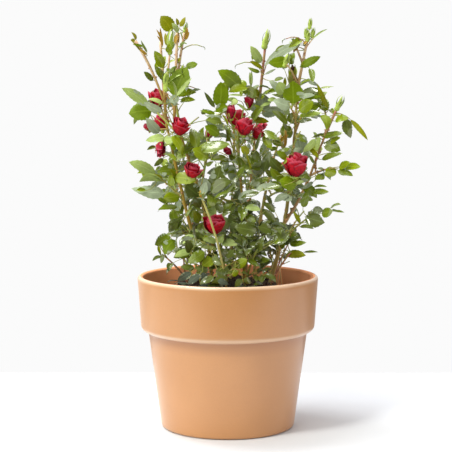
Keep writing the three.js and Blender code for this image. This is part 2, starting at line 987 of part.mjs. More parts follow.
const wallRadiusAt = (z) =>
  THREE.MathUtils.mapLinear(z, FLOOR_Z + 5, POT_HEIGHT - 4, INNER_BASE_RADIUS, MOUTH_RADIUS);
const compost = turned(
  [
    [0, FLOOR_Z + GAP],
    [INNER_BASE_RADIUS - 5.4, FLOOR_Z + GAP],
    [INNER_BASE_RADIUS - 0.6, FLOOR_Z + 5],
    [wallRadiusAt(FILL_Z) - 2 * GAP, FILL_Z],
    [ROOT_BALL_RADIUS + 5, FILL_Z + 1],
    [ROOT_BALL_RADIUS + 1, FILL_Z + 4],
    [ROOT_BALL_RADIUS, SOIL_Z - 3],
    [ROOT_BALL_RADIUS - 4, SOIL_Z],
    [0, SOIL_Z],
  ],
  SOIL_SEGMENTS,
);
take(compost);
addMesh("root_ball", compost, materials.compost);

// The canes, each a six-sided limb that tapers to its tip.
const canes = new Map();
for (const cane of CANES) {
  const parent = cane.on ? canes.get(cane.on) : null;
  const foot = parent ? parent.curve.getPoint(cane.at) : inSoil(cane.foot);
  const curve = bend(foot, vector(cane.tip), cane.upright);
  const full = limb(curve, cane.radii, CANE_SIDES, CANE_LENGTHS);
  const solid = parent ? whole(full.subtract(parent.room)) : aboveSoil(full);
  canes.set(cane.name, { curve, room: limb(curve, withGap(cane.radii), CANE_SIDES, CANE_LENGTHS) });
  take(solid);
  addMesh(cane.name, solid, materials.bark);
}

// The masses: every stem first, so that the leaves of one keep clear of the stems of all.
const masses = MASSES.map((plan, i) => raiseStems(plan, i + 1, canes));
for (const mass of masses) addMesh(mass.name, finishMass(mass), materials.foliage);

export default bush;
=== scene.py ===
from math import cos, pi, radians, sin

import bpy
import numpy as np
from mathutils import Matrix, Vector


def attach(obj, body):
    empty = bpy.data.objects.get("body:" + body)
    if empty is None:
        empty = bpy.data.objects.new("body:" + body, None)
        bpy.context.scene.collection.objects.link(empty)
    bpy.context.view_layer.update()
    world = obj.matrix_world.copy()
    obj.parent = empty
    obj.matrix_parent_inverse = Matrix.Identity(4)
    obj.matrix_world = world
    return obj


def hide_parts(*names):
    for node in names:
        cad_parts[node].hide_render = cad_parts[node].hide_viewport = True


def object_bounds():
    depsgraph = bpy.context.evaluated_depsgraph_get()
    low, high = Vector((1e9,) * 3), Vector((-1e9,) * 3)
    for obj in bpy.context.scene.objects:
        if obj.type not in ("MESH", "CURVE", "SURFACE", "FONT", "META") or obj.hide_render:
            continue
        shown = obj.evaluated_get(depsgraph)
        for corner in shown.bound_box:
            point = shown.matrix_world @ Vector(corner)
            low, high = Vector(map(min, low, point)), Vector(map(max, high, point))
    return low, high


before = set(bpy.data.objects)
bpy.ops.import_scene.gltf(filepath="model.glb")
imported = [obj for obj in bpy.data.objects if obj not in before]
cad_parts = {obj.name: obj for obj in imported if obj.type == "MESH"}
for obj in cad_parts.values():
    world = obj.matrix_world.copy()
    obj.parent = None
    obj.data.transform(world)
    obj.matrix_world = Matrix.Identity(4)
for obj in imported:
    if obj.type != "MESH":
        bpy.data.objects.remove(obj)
cad_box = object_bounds()

# The studio: a pale floor, a wide soft lamp at the front left, a weaker one at the right,
# and white all round. The camera looks a little down on the rim from two metres.
MM = 0.001
CAMERA_SPOT = (-2.4, -1850, 449)
CAMERA_DOWN = 5.6  # degrees
BRIGHT_SIDE = (-0.3, 0.55, 0.78)  # the way in which the white all round is brightest


def linear(code):
    """The linear colour of an sRGB hex value."""
    parts = [int(code[i:i + 2], 16) / 255 for i in (1, 3, 5)]
    return [c / 12.92 if c <= 0.04045 else ((c + 0.055) / 1.055) ** 2.4 for c in parts] + [1.0]


def node(tree, kind, inputs=None, **values):
    """One node. Its settings are given in lower case and its inputs' values by their names. `inputs`
    has its links, as {input: (node, output)}, and values of inputs that are known by number."""
    made = tree.nodes.new("ShaderNode" + kind)
    for key, value in values.items():
        if key.islower():
            setattr(made, key, value)
        else:
            made.inputs[key.replace("_", " ")].default_value = value
    for key, given in (inputs or {}).items():
        if isinstance(given, tuple):
            tree.links.new(given[0].outputs[given[1]], made.inputs[key])
        else:
            made.inputs[key].default_value = given
    return made


def finish_of(name, **values):
    """A material, its tree and its Principled shader, with constant values set on the sockets."""
    made = bpy.data.materials.new(name)
    made.use_nodes = True
    shader = made.node_tree.nodes["Principled BSDF"]
    for key, value in values.items():
        shader.inputs[key.replace("_", " ")].default_value = value
    return made, made.node_tree, shader


def deselect():
    bpy.ops.object.select_all(action="DESELECT")


camera_data = bpy.data.cameras.new("camera")
camera_data.lens = 111.5
camera_data.clip_end = 50
camera = bpy.data.objects.new("camera", camera_data)
camera.location = [MM * place for place in CAMERA_SPOT]
camera.rotation_euler = (radians(90 - CAMERA_DOWN), 0, 0)
bpy.context.scene.collection.objects.link(camera)
bpy.context.scene.camera = camera
bpy.context.scene.view_settings.view_transform = "Standard"

world = bpy.data.worlds.new("white_studio")
world.use_nodes = True
sky = world.node_tree
way_out = node(sky, "TexCoord")
towards = node(sky, "VectorMath", {0: (way_out, "Generated")}, operation="DOT_PRODUCT")
towards.inputs[1].default_value = BRIGHT_SIDE
glow = node(sky, "MapRange", {"Value": (towards, "Value")}, interpolation_type="SMOOTHSTEP",
            To_Min=0.14, To_Max=1.15)
lit = node(sky, "Background", {"Strength": (glow, "Result")}, Color=linear("#FFFFFF"))
seen = node(sky, "Background", Color=linear("#FBFBFB"))
ray = node(sky, "LightPath")
either = node(sky, "MixShader", {"Fac": (ray, "Is Camera Ray"), 1: (lit, "Background"),
                                 2: (seen, "Background")})
sky.links.new(either.outputs["Shader"], sky.nodes["World Output"].inputs["Surface"])
bpy.context.scene.world = world


def lamp(name, kind, spot, target, size, power, tint, tall=None):
    """A soft lamp at a spot, turned to its target. A sun's size is its angle in degrees."""
    data = bpy.data.lights.new(name, kind)
    data.energy = power
    data.color = linear(tint)[:3]
    if kind == "SUN":
        data.angle = radians(size)
    else:
        data.shape, data.size, data.size_y = "RECTANGLE", size, tall or size
    made = bpy.data.objects.new(name, data)
    made.location = spot
    away = np.array(target) - np.array(spot)
    flat = np.hypot(away[0], away[1])
    made.rotation_euler = (pi / 2 + np.arctan2(away[2], flat), 0, np.arctan2(-away[0], away[1]))
    bpy.context.scene.collection.objects.link(made)


lamp("key_lamp", "SUN", (-1.2, -1.15, 2.4), (0, 0, 0.2), 11, 1.45, "#FFFFF6")
lamp("side_panel", "AREA", (-1.2, -1.3, 0.8), (0, 0, 0.25), 2.0, 24, "#FFFFF4", 1.5)
lamp("top_panel", "AREA", (-0.5, 0.25, 1.9), (0, 0, 0.3), 0.7, 26, "#FFFFFF")
lamp("fill_panel", "AREA", (1.5, -0.7, 0.7), (0, 0, 0.2), 1.2, 9.0, "#FFF2EC")

FLOOR_WIDTH, FLOOR_FRONT, FLOOR_BACK, FLOOR_DROP = 2.4, -0.55, 0.34, 0.0004
deselect()
bpy.ops.mesh.primitive_plane_add(size=1, location=(0, (FLOOR_FRONT + FLOOR_BACK) / 2, -FLOOR_DROP))
floor = bpy.context.object
floor.scale = (FLOOR_WIDTH, FLOOR_BACK - FLOOR_FRONT, 1)
bpy.ops.object.transform_apply(location=True, rotation=False, scale=True)
floor.name = "floor"

# Board under matt paint: pale, cool and dull, so it takes the soft shadow and gives no shine.
painted_board, tree, shader = finish_of("painted_board", Base_Color=linear("#DADDE2"), Roughness=0.8,
                                        Specular_IOR_Level=0.2)
floor.data.materials.append(painted_board)

# The pot: a garden pot of fine terracotta, turned and fired unglazed, with a tall collar whose
# lower edge is rounded. The outside is smooth, with faint rings left by the turning.
POT_SIDES, SMOOTH_UNDER = 192, 38  # edges that turn less than this are shaded smooth
LIP_CENTRE, LIP_RADIUS = (116.25, 198.25), 3.75
COLLAR_EDGE_Z, COLLAR_FOOT_Z = 131.2, 128.5


def arc(centre, radius, first, last, steps):
    """Points of a circle's arc as [radius, height], angles in degrees from level."""
    angles = [radians(first + (last - first) * i / steps) for i in range(steps + 1)]
    return [(centre[0] + radius * cos(a), centre[1] + radius * sin(a)) for a in angles]


def turned(name, profile, sides):
    """A ring drawn out through a profile of (radius, height) in mm, then closed at both ends."""
    deselect()
    radius, height = profile[0]
    bpy.ops.mesh.primitive_circle_add(vertices=sides, radius=radius * MM, location=(0, 0, height * MM))
    piece = bpy.context.object
    piece.name = name
    bpy.ops.object.transform_apply(location=True, rotation=False, scale=False)
    bpy.ops.object.mode_set(mode="EDIT")
    bpy.ops.mesh.select_all(action="SELECT")
    for wider, higher in profile[1:]:
        bpy.ops.mesh.extrude_region_move(
            TRANSFORM_OT_translate={"value": (0, 0, (higher - height) * MM)})
        bpy.ops.transform.resize(
            value=(wider / radius, wider / radius, 1), center_override=(0, 0, higher * MM))
        radius, height = wider, higher
    bpy.ops.mesh.select_all(action="DESELECT")
    bpy.ops.mesh.select_non_manifold()
    bpy.ops.mesh.fill_holes(sides=0)
    bpy.ops.mesh.select_all(action="DESELECT")
    bpy.ops.object.mode_set(mode="OBJECT")
    for face in piece.data.polygons:
        face.select = len(face.vertices) > 4
    bpy.ops.object.mode_set(mode="EDIT")
    bpy.ops.mesh.poke()
    bpy.ops.mesh.select_all(action="SELECT")
    bpy.ops.mesh.normals_make_consistent(inside=False)
    bpy.ops.object.mode_set(mode="OBJECT")
    bpy.ops.object.shade_smooth_by_angle(angle=radians(SMOOTH_UNDER))
    return piece


pot_profile = [(40, 0), (84.4, 0), *arc((85.0, 4.2), 4.2, -80, 0, 6)]
pot_profile += [(93, 32.5), (98, 69.5), (103, 106.7), (105.3, 124), (105.9, 127.2), (107.2, 128.7)]
pot_profile += arc((107, 137.4), 8.8, -82, 0, 8)
pot_profile += [(117, 155), (118.5, 177), (119.7, 193), *arc(LIP_CENTRE, LIP_RADIUS, 0, 180, 12)]
pot_profile += [(112.1, 196), (105, 155), (95, 97.6), (81.4, 19.5), (80, 15), (76, 12.4), (70, 12),
                (40, 12)]
pot = turned("pot_shell", pot_profile, POT_SIDES)

# Terracotta, turned and fired: orange-buff clay, satin from burnishing, so the lamp gives a broad
# soft sheen, and a breath of clay dust that pales the turned-away sides. Clouds of paler clay
# 60 mm across, grit under 1 mm, rings 3 mm apart, and a lip paled over its top 4 mm, partly rubbed
# clay and partly painted highlight. A pale line along the collar's lower edge is painted highlight,
# and a browner band just under the collar is painted shade.
terracotta, tree, shader = finish_of(
    "terracotta_fired", Roughness=0.3, Specular_IOR_Level=0.85, Coat_Weight=0.1, Coat_Roughness=0.3,
    Sheen_Weight=0.35, Sheen_Roughness=0.4, Sheen_Tint=linear("#FFE6D2"))
place = node(tree, "TexCoord")
clouds = node(tree, "TexNoise", {"Vector": (place, "Object")}, Scale=16, Detail=3, Roughness=0.5)
grit = node(tree, "TexNoise", {"Vector": (place, "Object")}, Scale=1100, Detail=1, Roughness=0.5)
squeeze = node(tree, "Mapping", {"Vector": (place, "Object")}, Scale=(3, 3, 330))
rings = node(tree, "TexNoise", {"Vector": (squeeze, "Vector")}, Scale=1, Detail=2, Roughness=0.5)
clay = node(tree, "MixRGB", {"Fac": (clouds, "Fac")},
            Color1=linear("#B47B45"), Color2=linear("#C48B56"))
speckle = node(tree, "MapRange", {"Value": (grit, "Fac")},
               From_Min=0.35, From_Max=0.7, To_Min=0.97, To_Max=1.03)
toned = node(tree, "MixRGB", {"Color1": (clay, "Color"), "Color2": (speckle, "Result")},
             blend_type="MULTIPLY", Fac=1.0)
parts = node(tree, "SeparateXYZ", {"Vector": (place, "Object")})
# The lip's top 4 mm is paled, partly as rubbed clay and partly as painted highlight.
lip = node(tree, "MapRange", {"Value": (parts, "Z")}, From_Min=0.1970, From_Max=0.2015, To_Max=0.8)
# Painted shade: a browner band just under the collar, darkest near its foot, for the shadow that the
# collar throws.
collar_shade_ramp = node(tree, "MapRange", {"Value": (parts, "Z")}, From_Min=0.110, From_Max=0.127, To_Max=0.5)
under_collar = node(tree, "Math", {0: (parts, "Z"), 1: COLLAR_FOOT_Z * MM}, operation="LESS_THAN")
painted_collar_shade = node(tree, "Math", {0: (collar_shade_ramp, "Result"), 1: (under_collar, "Value")},
                 operation="MULTIPLY")
collar_shaded_clay = node(tree, "MixRGB", {"Fac": (painted_collar_shade, "Value"), "Color1": (toned, "Color")},
            Color2=linear("#8E5630"))
# Painted highlight: a pale line along the collar's rounded lower edge, where light bounced up from the
# floor catches it.
apart = node(tree, "Math", {0: (parts, "Z"), 1: COLLAR_EDGE_Z * MM}, operation="SUBTRACT")
off_edge = node(tree, "Math", {0: (apart, "Value")}, operation="ABSOLUTE")
edge = node(tree, "MapRange", {"Value": (off_edge, "Value")},
            From_Min=0.0042, From_Max=0.0012, To_Max=0.6)
# Pale clay over the lip, partly rubbed and partly painted highlight, and along the collar's lower edge,
# painted highlight.
rubbed_and_highlit = node(tree, "Math", {0: (lip, "Result"), 1: (edge, "Result")}, operation="MAXIMUM")
pale_highlight = node(tree, "MixRGB", {"Fac": (rubbed_and_highlit, "Value"), "Color1": (collar_shaded_clay, "Color")},
            Color2=linear("#E8CBAE"))
tree.links.new(pale_highlight.outputs["Color"], shader.inputs["Base Color"])
ridge = node(tree, "Bump", {"Height": (rings, "Fac")}, Strength=0.10, Distance=0.0006)
pores = node(tree, "Bump", {"Height": (grit, "Fac"), "Normal": (ridge, "Normal")},
             Strength=0.06, Distance=0.0004)
tree.links.new(pores.outputs["Normal"], shader.inputs["Normal"])
pot.data.materials.append(terracotta)

# Inside, the clay is matt, as the wheel left it, and painted far lighter and warmer orange than the
# outside: painted bounce light, for the light that the walls throw to each other inside.
bounce_lit_inside_clay, tree, shader = finish_of("terracotta_inside_painted_bounce", Roughness=0.8, Specular_IOR_Level=0.2)
place = node(tree, "TexCoord")
clouds = node(tree, "TexNoise", {"Vector": (place, "Object")}, Scale=30, Detail=4, Roughness=0.6)
clay = node(tree, "MixRGB", {"Fac": (clouds, "Fac")},
            Color1=linear("#FFA674"), Color2=linear("#FFB686"))
tree.links.new(clay.outputs["Color"], shader.inputs["Base Color"])
pot.data.materials.append(bounce_lit_inside_clay)
for face in pot.data.polygons:
    inwards = face.normal.x * face.center.x + face.normal.y * face.center.y < -0.05 * face.center.length
    face.material_index = int(inwards and face.center.z > COLLAR_EDGE_Z * MM)
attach(pot, "root")
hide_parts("pot")

# The compost: a dark peat fill with the bush's own root ball standing proud of it. It was cast
# in a smaller pot, so its side is steep, and its top is rough with crumbs and lumps.
CRUMBS, CRUMB_SIZES = 900, (0.7, 2.6)
LUMP_HEIGHT = 2.4
FILL_Z, SOIL_Z = 176, 193
WALL_RADIUS, SHOULDER_RADIUS, BALL_RADIUS = 103, 73, 67.5
SHOULDER_Z = 184.5
compost_profile = [
    (30, 12.4), (75.4, 12.4), (80.2, 17), (92.8, 90), (104, 156), (107.2, 175.2), (103, 176.2),
    (97, 176.6), (90, 177), (83, 177.2), (77, 177.6), (72.5, 178.5), (69.6, 180.5), (68.2, 184),
    (67.5, 188), (66.4, 191), (64, 192.6), *((radius, SOIL_Z) for radius in range(60, 0, -6)),
]
ball = turned("compost_fill", compost_profile, 120)
rng = np.random.default_rng(11)


def lumps(x, y, seed, size):
    """Smooth heaves between -1 and 1 over the plane, about a size in mm across."""
    draws = np.random.default_rng(seed)
    total = 0
    for octave in range(3):
        step = 2 ** octave / size
        for _ in range(3):
            way = draws.uniform(0, 2 * pi)
            total = total + np.sin(
                (x * cos(way) + y * sin(way)) * step * 2 * pi + draws.uniform(0, 6.3)
            ) / (3 * 1.6 ** octave)
    return total / 1.6


def heaved(spots):
    """How far the soil stands up or sinks at each spot: wide heaves with smaller ones on them."""
    x, y = spots[:, 0], spots[:, 1]
    return LUMP_HEIGHT * (lumps(x, y, 5, 19) + 0.5 * lumps(x, y, 6, 7))


spots = np.empty(len(ball.data.vertices) * 3)
ball.data.vertices.foreach_get("co", spots)
spots = spots.reshape(-1, 3) / MM
on_top = spots[:, 2] > FILL_Z - 0.5
spots[on_top, 2] += (heaved(spots) - 0.8)[on_top]
ball.data.vertices.foreach_set("co", (spots * MM).ravel())
ball.data.update()


class Gathered:
    """Many small parts that become one mesh: corners in mm, faces, material numbers and UV."""

    def __init__(self):
        self.spots, self.loops, self.totals, self.finishes, self.uv, self.rims = [], [], [], [], [], []
        self.count = 0

    def add(self, spots, faces, finishes):
        """Parts of one form: spots is (parts, corners, 3), finishes (parts, faces)."""
        parts, corners = spots.shape[:2]
        starts = self.count + corners * np.arange(parts)
        self.spots.append(spots.reshape(-1, 3))
        self.loops.append((faces["loops"][None, :] + starts[:, None]).ravel())
        self.totals.append(np.tile(faces["totals"], parts))
        self.finishes.append(np.broadcast_to(finishes, (parts, len(faces["totals"]))).ravel())
        self.uv.append(np.tile(faces["uv"], (parts, 1)))
        self.rims.append(np.tile(faces["rims"], parts))
        self.count += parts * corners

    def mesh(self, name, finishes):
        """The joined object, smooth but for the rims of blades."""
        spots = np.concatenate(self.spots) * MM
        loops = np.concatenate(self.loops)
        totals = np.concatenate(self.totals)
        data = bpy.data.meshes.new(name)
        data.vertices.add(len(spots))
        data.vertices.foreach_set("co", spots.ravel())
        data.loops.add(len(loops))
        data.loops.foreach_set("vertex_index", loops.astype(np.int32))
        data.polygons.add(len(totals))
        data.polygons.foreach_set("loop_start", (np.cumsum(totals) - totals).astype(np.int32))
        data.polygons.foreach_set("material_index", np.concatenate(self.finishes).astype(np.int32))
        data.update(calc_edges=True)
        data.polygons.foreach_set("use_smooth", np.ones(len(totals), bool))
        laid = data.uv_layers.new(name="along")
        laid.data.foreach_set("uv", np.concatenate(self.uv).astype(np.float32).ravel())
        rims = np.concatenate(self.rims)
        ends = np.empty(len(data.edges) * 2, np.int32)
        data.edges.foreach_get("vertices", ends)
        sharp = data.attributes.new("sharp_edge", "BOOLEAN", "EDGE")
        sharp.data.foreach_set("value", rims[ends.reshape(-1, 2)].all(axis=1))
        for finish in finishes:
            data.materials.append(finish)
        data.update()
        made = bpy.data.objects.new(name, data)
        bpy.context.scene.collection.objects.link(made)
        return made


def form(polygons, corners, uv=None, rims=()):
    """The faces that one repeated form has, with a place on the UV map for each corner."""
    loops = np.array([corner for polygon in polygons for corner in polygon])
    places = np.zeros((corners, 2)) if uv is None else np.array(uv, float)
    edge = np.zeros(corners, bool)
    edge[list(rims)] = True
    return {"loops": loops, "totals": np.array([len(p) for p in polygons]),
            "uv": places[loops], "rims": edge}


CRUMB_CORNERS = np.array([(1, 0, 0), (-1, 0, 0), (0, 1, 0), (0, -1, 0), (0, 0, 1), (0, 0, -1)], float)
CRUMB_FACES = form([(0, 2, 4), (2, 1, 4), (1, 3, 4), (3, 0, 4),
                    (2, 0, 5), (1, 2, 5), (3, 1, 5), (0, 3, 5)], 6)
turns = rng.uniform(0, 2 * pi, CRUMBS)
reach = np.sqrt(rng.uniform(0.0, 1.0, CRUMBS)) * WALL_RADIUS
level = np.where(reach < BALL_RADIUS - 2, SOIL_Z,
                 np.where(reach < SHOULDER_RADIUS, SHOULDER_Z, FILL_Z + 0.6))
reach = np.where(reach > WALL_RADIUS - 3, (WALL_RADIUS - 3) * rng.uniform(0.9, 1, CRUMBS), reach)
middles = np.stack([reach * np.cos(turns), reach * np.sin(turns), level], 1)
middles[:, 2] += heaved(middles) - 0.6
sizes = rng.uniform(*CRUMB_SIZES, CRUMBS) * rng.uniform(0.5, 1, CRUMBS)
knobs = CRUMB_CORNERS[None] * sizes[:, None, None] * rng.uniform(0.6, 1.35, (CRUMBS, 6, 3))
knobs += rng.uniform(-0.3, 0.3, (CRUMBS, 6, 3)) * sizes[:, None, None] + middles[:, None, :]
crumbs = Gathered()
crumbs.add(knobs, CRUMB_FACES, rng.integers(0, 2, (CRUMBS, 1)))

# Peat compost: nearly black where it is damp, brown where it has dried, and dull all over,
# with a fibrous grain of 1 to 4 mm that the bump stands up.
peat, tree, shader = finish_of("peat_compost", Roughness=0.92, Specular_IOR_Level=0.3)
place = node(tree, "TexCoord")
damp = node(tree, "TexNoise", {"Vector": (place, "Object")}, Scale=70, Detail=4, Roughness=0.6)
fibre = node(tree, "TexNoise", {"Vector": (place, "Object")}, Scale=420, Detail=3, Roughness=0.7)
earth = node(tree, "MixRGB", {"Fac": (damp, "Fac")},
             Color1=linear("#1D1510"), Color2=linear("#4A3628"))
tree.links.new(earth.outputs["Color"], shader.inputs["Base Color"])
grain = node(tree, "Bump", {"Height": (fibre, "Fac")}, Strength=0.9, Distance=0.0016)
tree.links.new(grain.outputs["Normal"], shader.inputs["Normal"])
dry_peat, tree, shader = finish_of("peat_crumbs_dry", Roughness=0.95, Specular_IOR_Level=0.2)
place = node(tree, "TexCoord")
fibre = node(tree, "TexNoise", {"Vector": (place, "Object")}, Scale=300, Detail=2, Roughness=0.6)
earth = node(tree, "MixRGB", {"Fac": (fibre, "Fac")},
             Color1=linear("#3B2A1E"), Color2=linear("#6E5540"))
tree.links.new(earth.outputs["Color"], shader.inputs["Base Color"])
ball.data.materials.append(peat)
crumb_piece = crumbs.mesh("compost_crumbs", [peat, dry_peat])
for piece in (ball, crumb_piece):
    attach(piece, "root")
    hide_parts("root_ball")

# The canes: nine green-wooded limbs, tan and ridged with age, from the root ball or from each
# other. Each has a ring and a swelling at every old leaf, and hooked prickles between them.
UP, BACK = np.array([0.0, 0.0, 1.0]), np.array([0.0, 1.0, 0.0])
CANE_SIDES, CANE_RINGS = 12, 56
NODE_SPACING, PRICKLE_SPACING = 26, 15
NODE_SWELLING, NODE_REACH = 0.16, 2.6
BARK_RELIEF, BARK_WAVES = 0.035, 4
PRICKLE_SUNK = 0.86  # a prickle's base is set in at this share of the radius
SLIMMED = 0.82  # the bark keeps just inside the source's cane, but for its knots
OLIVE, TAN, RUSSET, PRICKLE = range(4)
# A cane is its bark, its foot in the root ball or where it forks, its tip, how upright it starts,
# and its radii at both ends.
CANES = {
    "cane_left": (OLIVE, [-26, -4], [-81, -14, 408], -0.1, [3.4, 1.8]),
    "cane_left_inner": (OLIVE, [-8, -18], [-70, -32, 412], 0.14, [3.1, 1.7]),
    "cane_centre": (OLIVE, [22, -14], [14, -24, 360], 0.5, [3, 1.7]),
    "cane_slim": (RUSSET, [24, 14], [41, 12, 425], 0.3, [2.4, 1.4]),
    "cane_right": (TAN, [56, -4], [91, 4, 446], -0.42, [3.6, 1.7]),
    "cane_outer": (RUSSET, ["cane_right", 0.34], [128, -20, 393], -0.2, [2.4, 1.5]),
    "cane_back_left": (OLIVE, [-22, 26], [-62, 60, 378], 0.4, [3, 1.6]),
    "cane_back_centre": (TAN, [4, 34], [8, 88, 348], 0.4, [2.8, 1.5]),
    "cane_back_right": (TAN, [36, 28], [76, 70, 392], 0.4, [3, 1.6]),
}
limbs, barks = {}, {}


def unit(way):
    """Ways of length 1."""
    return way / np.maximum(np.linalg.norm(way, axis=-1, keepdims=True), 1e-9)


def bend(foot, tip, upright):
    """The three points of a curve. Above 0 it rises first and then leans, below 0 it leans first."""
    level = (tip - foot) * (1, 1, 0)
    rise = 0.15 * upright * np.linalg.norm(tip - foot)
    return foot, (foot + tip) / 2 - upright * level + UP * rise, tip


def spot_on(curve, share):
    foot, middle, tip = curve
    return (1 - share) ** 2 * foot + 2 * share * (1 - share) * middle + share ** 2 * tip


def heading_on(curve, share):
    foot, middle, tip = curve
    return unit((1 - share) * (middle - foot) + share * (tip - middle))


def line_on(curve, count):
    return np.array([spot_on(curve, i / (count - 1)) for i in range(count)])


def root_of(start):
    """The spot on a limb at a share of its length, or in the root ball at [x, y]."""
    on, at = start
    return spot_on(limbs[on], at) if on in limbs else np.array([on, at, SOIL_Z - 3.0])


def frame_on(curve, share):
    """The spot, the heading and two ways across it."""
    heading = heading_on(curve, share)
    right = unit(np.cross(BACK, heading))
    return spot_on(curve, share), heading, right, np.cross(heading, right)


tube_forms = {}


def tube_form(count, sides):
    """The faces of a tube with closed ends, its length along the UV map's second axis."""
    if (count, sides) not in tube_forms:
        polygons = []
        for i in range(count - 1):
            for j in range(sides):
                k = (j + 1) % sides
                polygons.append(tuple(sides * (i + a) + b for a, b in ((0, j), (0, k), (1, k), (1, j))))
        polygons.append(tuple(range(sides - 1, -1, -1)))
        polygons.append(tuple((count - 1) * sides + j for j in range(sides)))
        uv = [(j / sides, i / (count - 1)) for i in range(count) for j in range(sides)]
        tube_forms[count, sides] = form(polygons, count * sides, uv)
    return tube_forms[count, sides]


def add_tubes(gathered, lines, radii, sides, finishes, relief=1.0):
    """Tubes along lines of (parts, points, 3), with radii of (parts, points)."""
    lines = np.asarray(lines, float)
    parts, count = lines.shape[:2]
    along = unit(np.gradient(lines, axis=1))
    mean = unit(lines[:, -1] - lines[:, 0])
    fixed = np.where(np.abs(mean[:, 1:2]) < 0.8, BACK[None], np.array([[1.0, 0, 0]]))
    aside = unit(np.cross(along, fixed[:, None, :]))
    other = np.cross(along, aside)
    angles = 2 * pi * np.arange(sides) / sides
    ways = (aside[:, :, None] * np.cos(angles)[:, None] + other[:, :, None] * np.sin(angles)[:, None])
    wide = np.asarray(radii, float)[:, :, None, None] * np.ones((1, 1, sides, 1)) * relief
    spots = lines[:, :, None, :] + ways * wide
    gathered.add(spots.reshape(parts, count * sides, 3), tube_form(count, sides),
                 np.asarray(finishes).reshape(-1, 1))


# A prickle is a flat hooked thorn on a long low base, its point turned down.
PRICKLE_CORNERS = np.array([
    (0.25, -0.5, 0), (0.25, 0.5, 0), (-1.0, 0.32, 0), (-1.0, -0.32, 0), (-1.3, 0, 0.0),
    (-0.1, 0.14, 0.55), (-0.1, -0.14, 0.55), (-0.62, 0, 0.6), (-0.75, 0, 1.0)])
PRICKLE_FACES = form([(0, 1, 5, 6), (1, 2, 5), (2, 4, 7), (2, 7, 5), (4, 3, 7), (3, 6, 7), (3, 0, 6),
                      (5, 7, 8), (7, 6, 8), (6, 5, 8), (0, 3, 4, 2, 1)], 9)


def add_prickle(gathered, draws, curve, share, radius, sizes, finish):
    """One prickle somewhere round a stem, leaning back towards the foot."""
    root, heading, right, back = frame_on(curve, share)
    turn = draws.uniform(0, 2 * pi)
    away = right * cos(turn) + back * sin(turn)
    axes = np.stack([heading, np.cross(away, heading), away])
    spots = root + away * radius + (PRICKLE_CORNERS * draws.uniform(*sizes)) @ axes
    gathered.add(spots[None], PRICKLE_FACES, [[finish]])


for number, (name, (bark, start, tip, upright, ends)) in enumerate(CANES.items()):
    curve = limbs[name] = bend(root_of(start), np.array(tip, float), upright)
    draws = np.random.default_rng(40 + number)
    line = line_on(curve, CANE_RINGS)
    run = np.concatenate([[0], np.cumsum(np.linalg.norm(np.diff(line, axis=0), axis=1))])
    root_radius, tip_radius = (SLIMMED * radius for radius in ends)
    radii = root_radius + (tip_radius - root_radius) * run / run[-1]
    angles = 2 * pi * np.arange(CANE_SIDES) / CANE_SIDES
    relief = np.ones((CANE_RINGS, CANE_SIDES))
    for _ in range(BARK_WAVES):
        relief += BARK_RELIEF * np.sin(draws.integers(2, 6) * angles[None] + draws.uniform(0.02, 0.06)
                                       * run[:, None] + draws.uniform(0, 6.3))
    swelling = np.abs((run / NODE_SPACING + draws.uniform()) % 1 - 0.5) * NODE_SPACING
    radii = radii * (1 + NODE_SWELLING * np.exp(-(swelling / NODE_REACH) ** 2))
    sway = np.cumsum(draws.normal(0, 0.5, (CANE_RINGS, 3)), axis=0) * (1, 1, 0)
    sway -= sway[0] + (sway[-1] - sway[0]) * (run / run[-1])[:, None]
    barks[name] = Gathered()
    add_tubes(barks[name], (line + 0.35 * sway)[None], radii[None], CANE_SIDES, [bark],
              relief[None, :, :, None])
    spot = draws.uniform(6, 14)
    while spot < run[-1] - 8:
        share = spot / run[-1]
        radius = root_radius + (tip_radius - root_radius) * share
        add_prickle(barks[name], draws, curve, share, PRICKLE_SUNK * radius, (2.2, 3.6), PRICKLE)
        spot += PRICKLE_SPACING * draws.uniform(0.5, 1.7)


# Young rose bark: thin, smooth and waxy, so it shines a little, streaked along the cane where
# the green has turned to straw. Streaks are 3 to 12 mm long and under 1 mm wide.
def rose_bark(name, fresh, aged, roughness):
    made, tree, shader = finish_of(name, Roughness=roughness)
    place = node(tree, "TexCoord")
    pulled = node(tree, "Mapping", {"Vector": (place, "Object")}, Scale=(1, 1, 0.16))
    streaks = node(tree, "TexNoise", {"Vector": (pulled, "Vector")}, Scale=620, Detail=3, Roughness=0.6)
    patches = node(tree, "TexNoise", {"Vector": (place, "Object")}, Scale=38, Detail=2, Roughness=0.5)
    weathered = node(tree, "Math", {0: (streaks, "Fac"), 1: 0.5, 2: (patches, "Fac")},
                     operation="MULTIPLY_ADD")
    spread = node(tree, "MapRange", {"Value": (weathered, "Value")}, From_Min=0.55, From_Max=0.95)
    bark = node(tree, "MixRGB", {"Fac": (spread, "Result")}, Color1=linear(fresh), Color2=linear(aged))
    tree.links.new(bark.outputs["Color"], shader.inputs["Base Color"])
    grain = node(tree, "Bump", {"Height": (streaks, "Fac")}, Strength=0.35, Distance=0.0004)
    tree.links.new(grain.outputs["Normal"], shader.inputs["Normal"])
    return made


BARKS = [
    rose_bark("rose_bark_olive", "#94882C", "#BC9434", 0.42),
    rose_bark("rose_bark_tan", "#8C8238", "#B29A54", 0.45),
    rose_bark("rose_bark_russet", "#8C6840", "#B48E56", 0.4),
    rose_bark("prickle_horn", "#B0683C", "#D8A670", 0.45),
]
for name in CANES:
    piece = barks[name].mesh("bark_" + name, BARKS)
    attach(piece, "root")
    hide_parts(name)

# The masses of foliage: green stems with side sprays, which carry compound leaves and end in
# flowers, buds or young leaves, all of it living and grown on from a cane.
FRESH, MATURE, SHADED, YOUNG, PALE, UNDER = range(6)
UNDER_FRESH, WITHERED, CALYX, BRONZE, DEEP, OLIVE_LEAF = range(6, 12)
GREEN_TWIG, TAN_TWIG, RED_TWIG, STRAW_TWIG, TWIG_PRICKLE = range(5)
